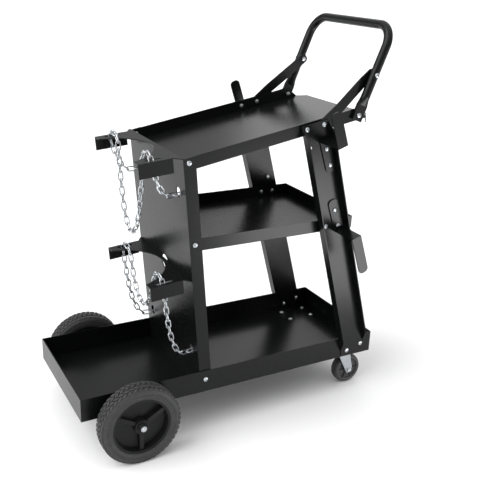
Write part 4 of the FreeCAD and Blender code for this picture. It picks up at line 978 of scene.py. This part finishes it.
class CART_OT_caster_wheels(bpy.types.Operator):
    """Makes the solid caster wheels with a crowned tread and a ribbed dish"""
    bl_idname = "cart.caster_wheels"
    bl_label = "Caster wheels"
    DISH_RIBS = 6
    BORE_RADIUS, BOSS_RADIUS = 4.0 * MM, 11 * MM
    DISH_DEPTH = 5 * MM
    RIB_WIDTH, RIB_HEIGHT = 2.2 * MM, 5.4 * MM

    def execute(self, context):
        maker = ring_maker()
        for side, sign in SIDES:
            node = "caster_wheel_" + side
            low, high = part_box(node)
            radius, width = (high.z - low.z) / 2, high.y - low.y
            rib = self.rib(radius, width)
            piece = put_in_scene(node + "_moulded", self.wheel(radius, width))
            maker.run(piece, Part=rib, Count=self.DISH_RIBS, Material=finish("rubber"))
            piece.data.transform(axle_frame(node, sign))
            smooth_by_angle(piece.data, 32)
            cover(piece, "caster_roller_" + side, [node])
            bpy.data.objects.remove(rib)
        return {"FINISHED"}

    def wheel(self, radius, width):
        """Boss, dish, rim and rounded shoulder on each side, and the tread between them."""
        bore, boss, dish = self.BORE_RADIUS, self.BOSS_RADIUS, self.DISH_DEPTH
        shoulder = [(bore, 0.0), (boss, 0.0), (boss + 0.8 * MM, 0.8 * MM), (boss + 1.2 * MM, dish),
                    (radius - 12 * MM, dish), (radius - 11 * MM, 2.2 * MM), (radius - 10 * MM, 1.4 * MM),
                    (radius - 8.5 * MM, 1.0 * MM), (radius - 5 * MM, 1.2 * MM), (radius - 2.4 * MM, 3.0 * MM),
                    (radius - 0.8 * MM, 6.2 * MM), (radius - 0.1 * MM, 10 * MM)]
        outline = shoulder + [(radius, width / 2)] + [(r, width - a) for r, a in shoulder[::-1]]
        return turned("caster_wheel", outline, 72)

    def rib(self, radius, width):
        """A rib from boss to rim in each of the two dishes."""
        inner, outer = self.BOSS_RADIUS + 0.5 * MM, radius - 11.2 * MM
        middle = 3.8 * MM       # of a rib, in from the wheel's face

        def build(bm):
            for along in (middle, width - middle):
                block = add_block(bm, (outer - inner + 1 * MM, self.RIB_WIDTH, self.RIB_HEIGHT))
                bmesh.ops.translate(bm, verts=block, vec=((outer + inner) / 2, 0, along))
            bmesh.ops.bevel(bm, geom=bm.edges[:], offset=0.35 * MM, segments=2, affect="EDGES")
        return put_in_scene("caster_rib_master", from_bmesh("caster_rib_master", build))


OPERATORS = [CART_OT_studio, CART_OT_sheet_parts, CART_OT_frame_finishes, CART_OT_fasteners, CART_OT_chains,
             CART_OT_rear_tyres, CART_OT_rear_hubs, CART_OT_caster_wheels]


class CART_PT_sidebar(bpy.types.Panel):
    """Lists the cart's settings and pieces"""
    bl_idname = "CART_PT_sidebar"
    bl_label = "Welding Cart"
    bl_space_type = "VIEW_3D"
    bl_region_type = "UI"
    bl_category = "Welding Cart"

    def draw(self, context):
        layout = self.layout
        for group in ("cart_look", "cart_sizes", "cart_studio"):
            settings = getattr(context.scene, group)
            for key in settings.__annotations__:
                layout.prop(settings, key)
        for operator in OPERATORS:
            layout.operator(operator.bl_idname)


GROUPS = {"cart_look": CartLook, "cart_sizes": CartSizes, "cart_studio": StudioSetup}


def register():
    for cls in [*GROUPS.values(), *OPERATORS, CART_PT_sidebar]:
        bpy.utils.register_class(cls)
    for name, group in GROUPS.items():
        setattr(bpy.types.Scene, name, PointerProperty(type=group))


def unregister():
    for name in GROUPS:
        delattr(bpy.types.Scene, name)
    for cls in [CART_PT_sidebar, *reversed(OPERATORS), *reversed(list(GROUPS.values()))]:
        bpy.utils.unregister_class(cls)


def main():
    register()
    for operator in OPERATORS:
        module, name = operator.bl_idname.split(".")
        getattr(getattr(bpy.ops, module), name)()


if __name__ == "__main__":
    main()
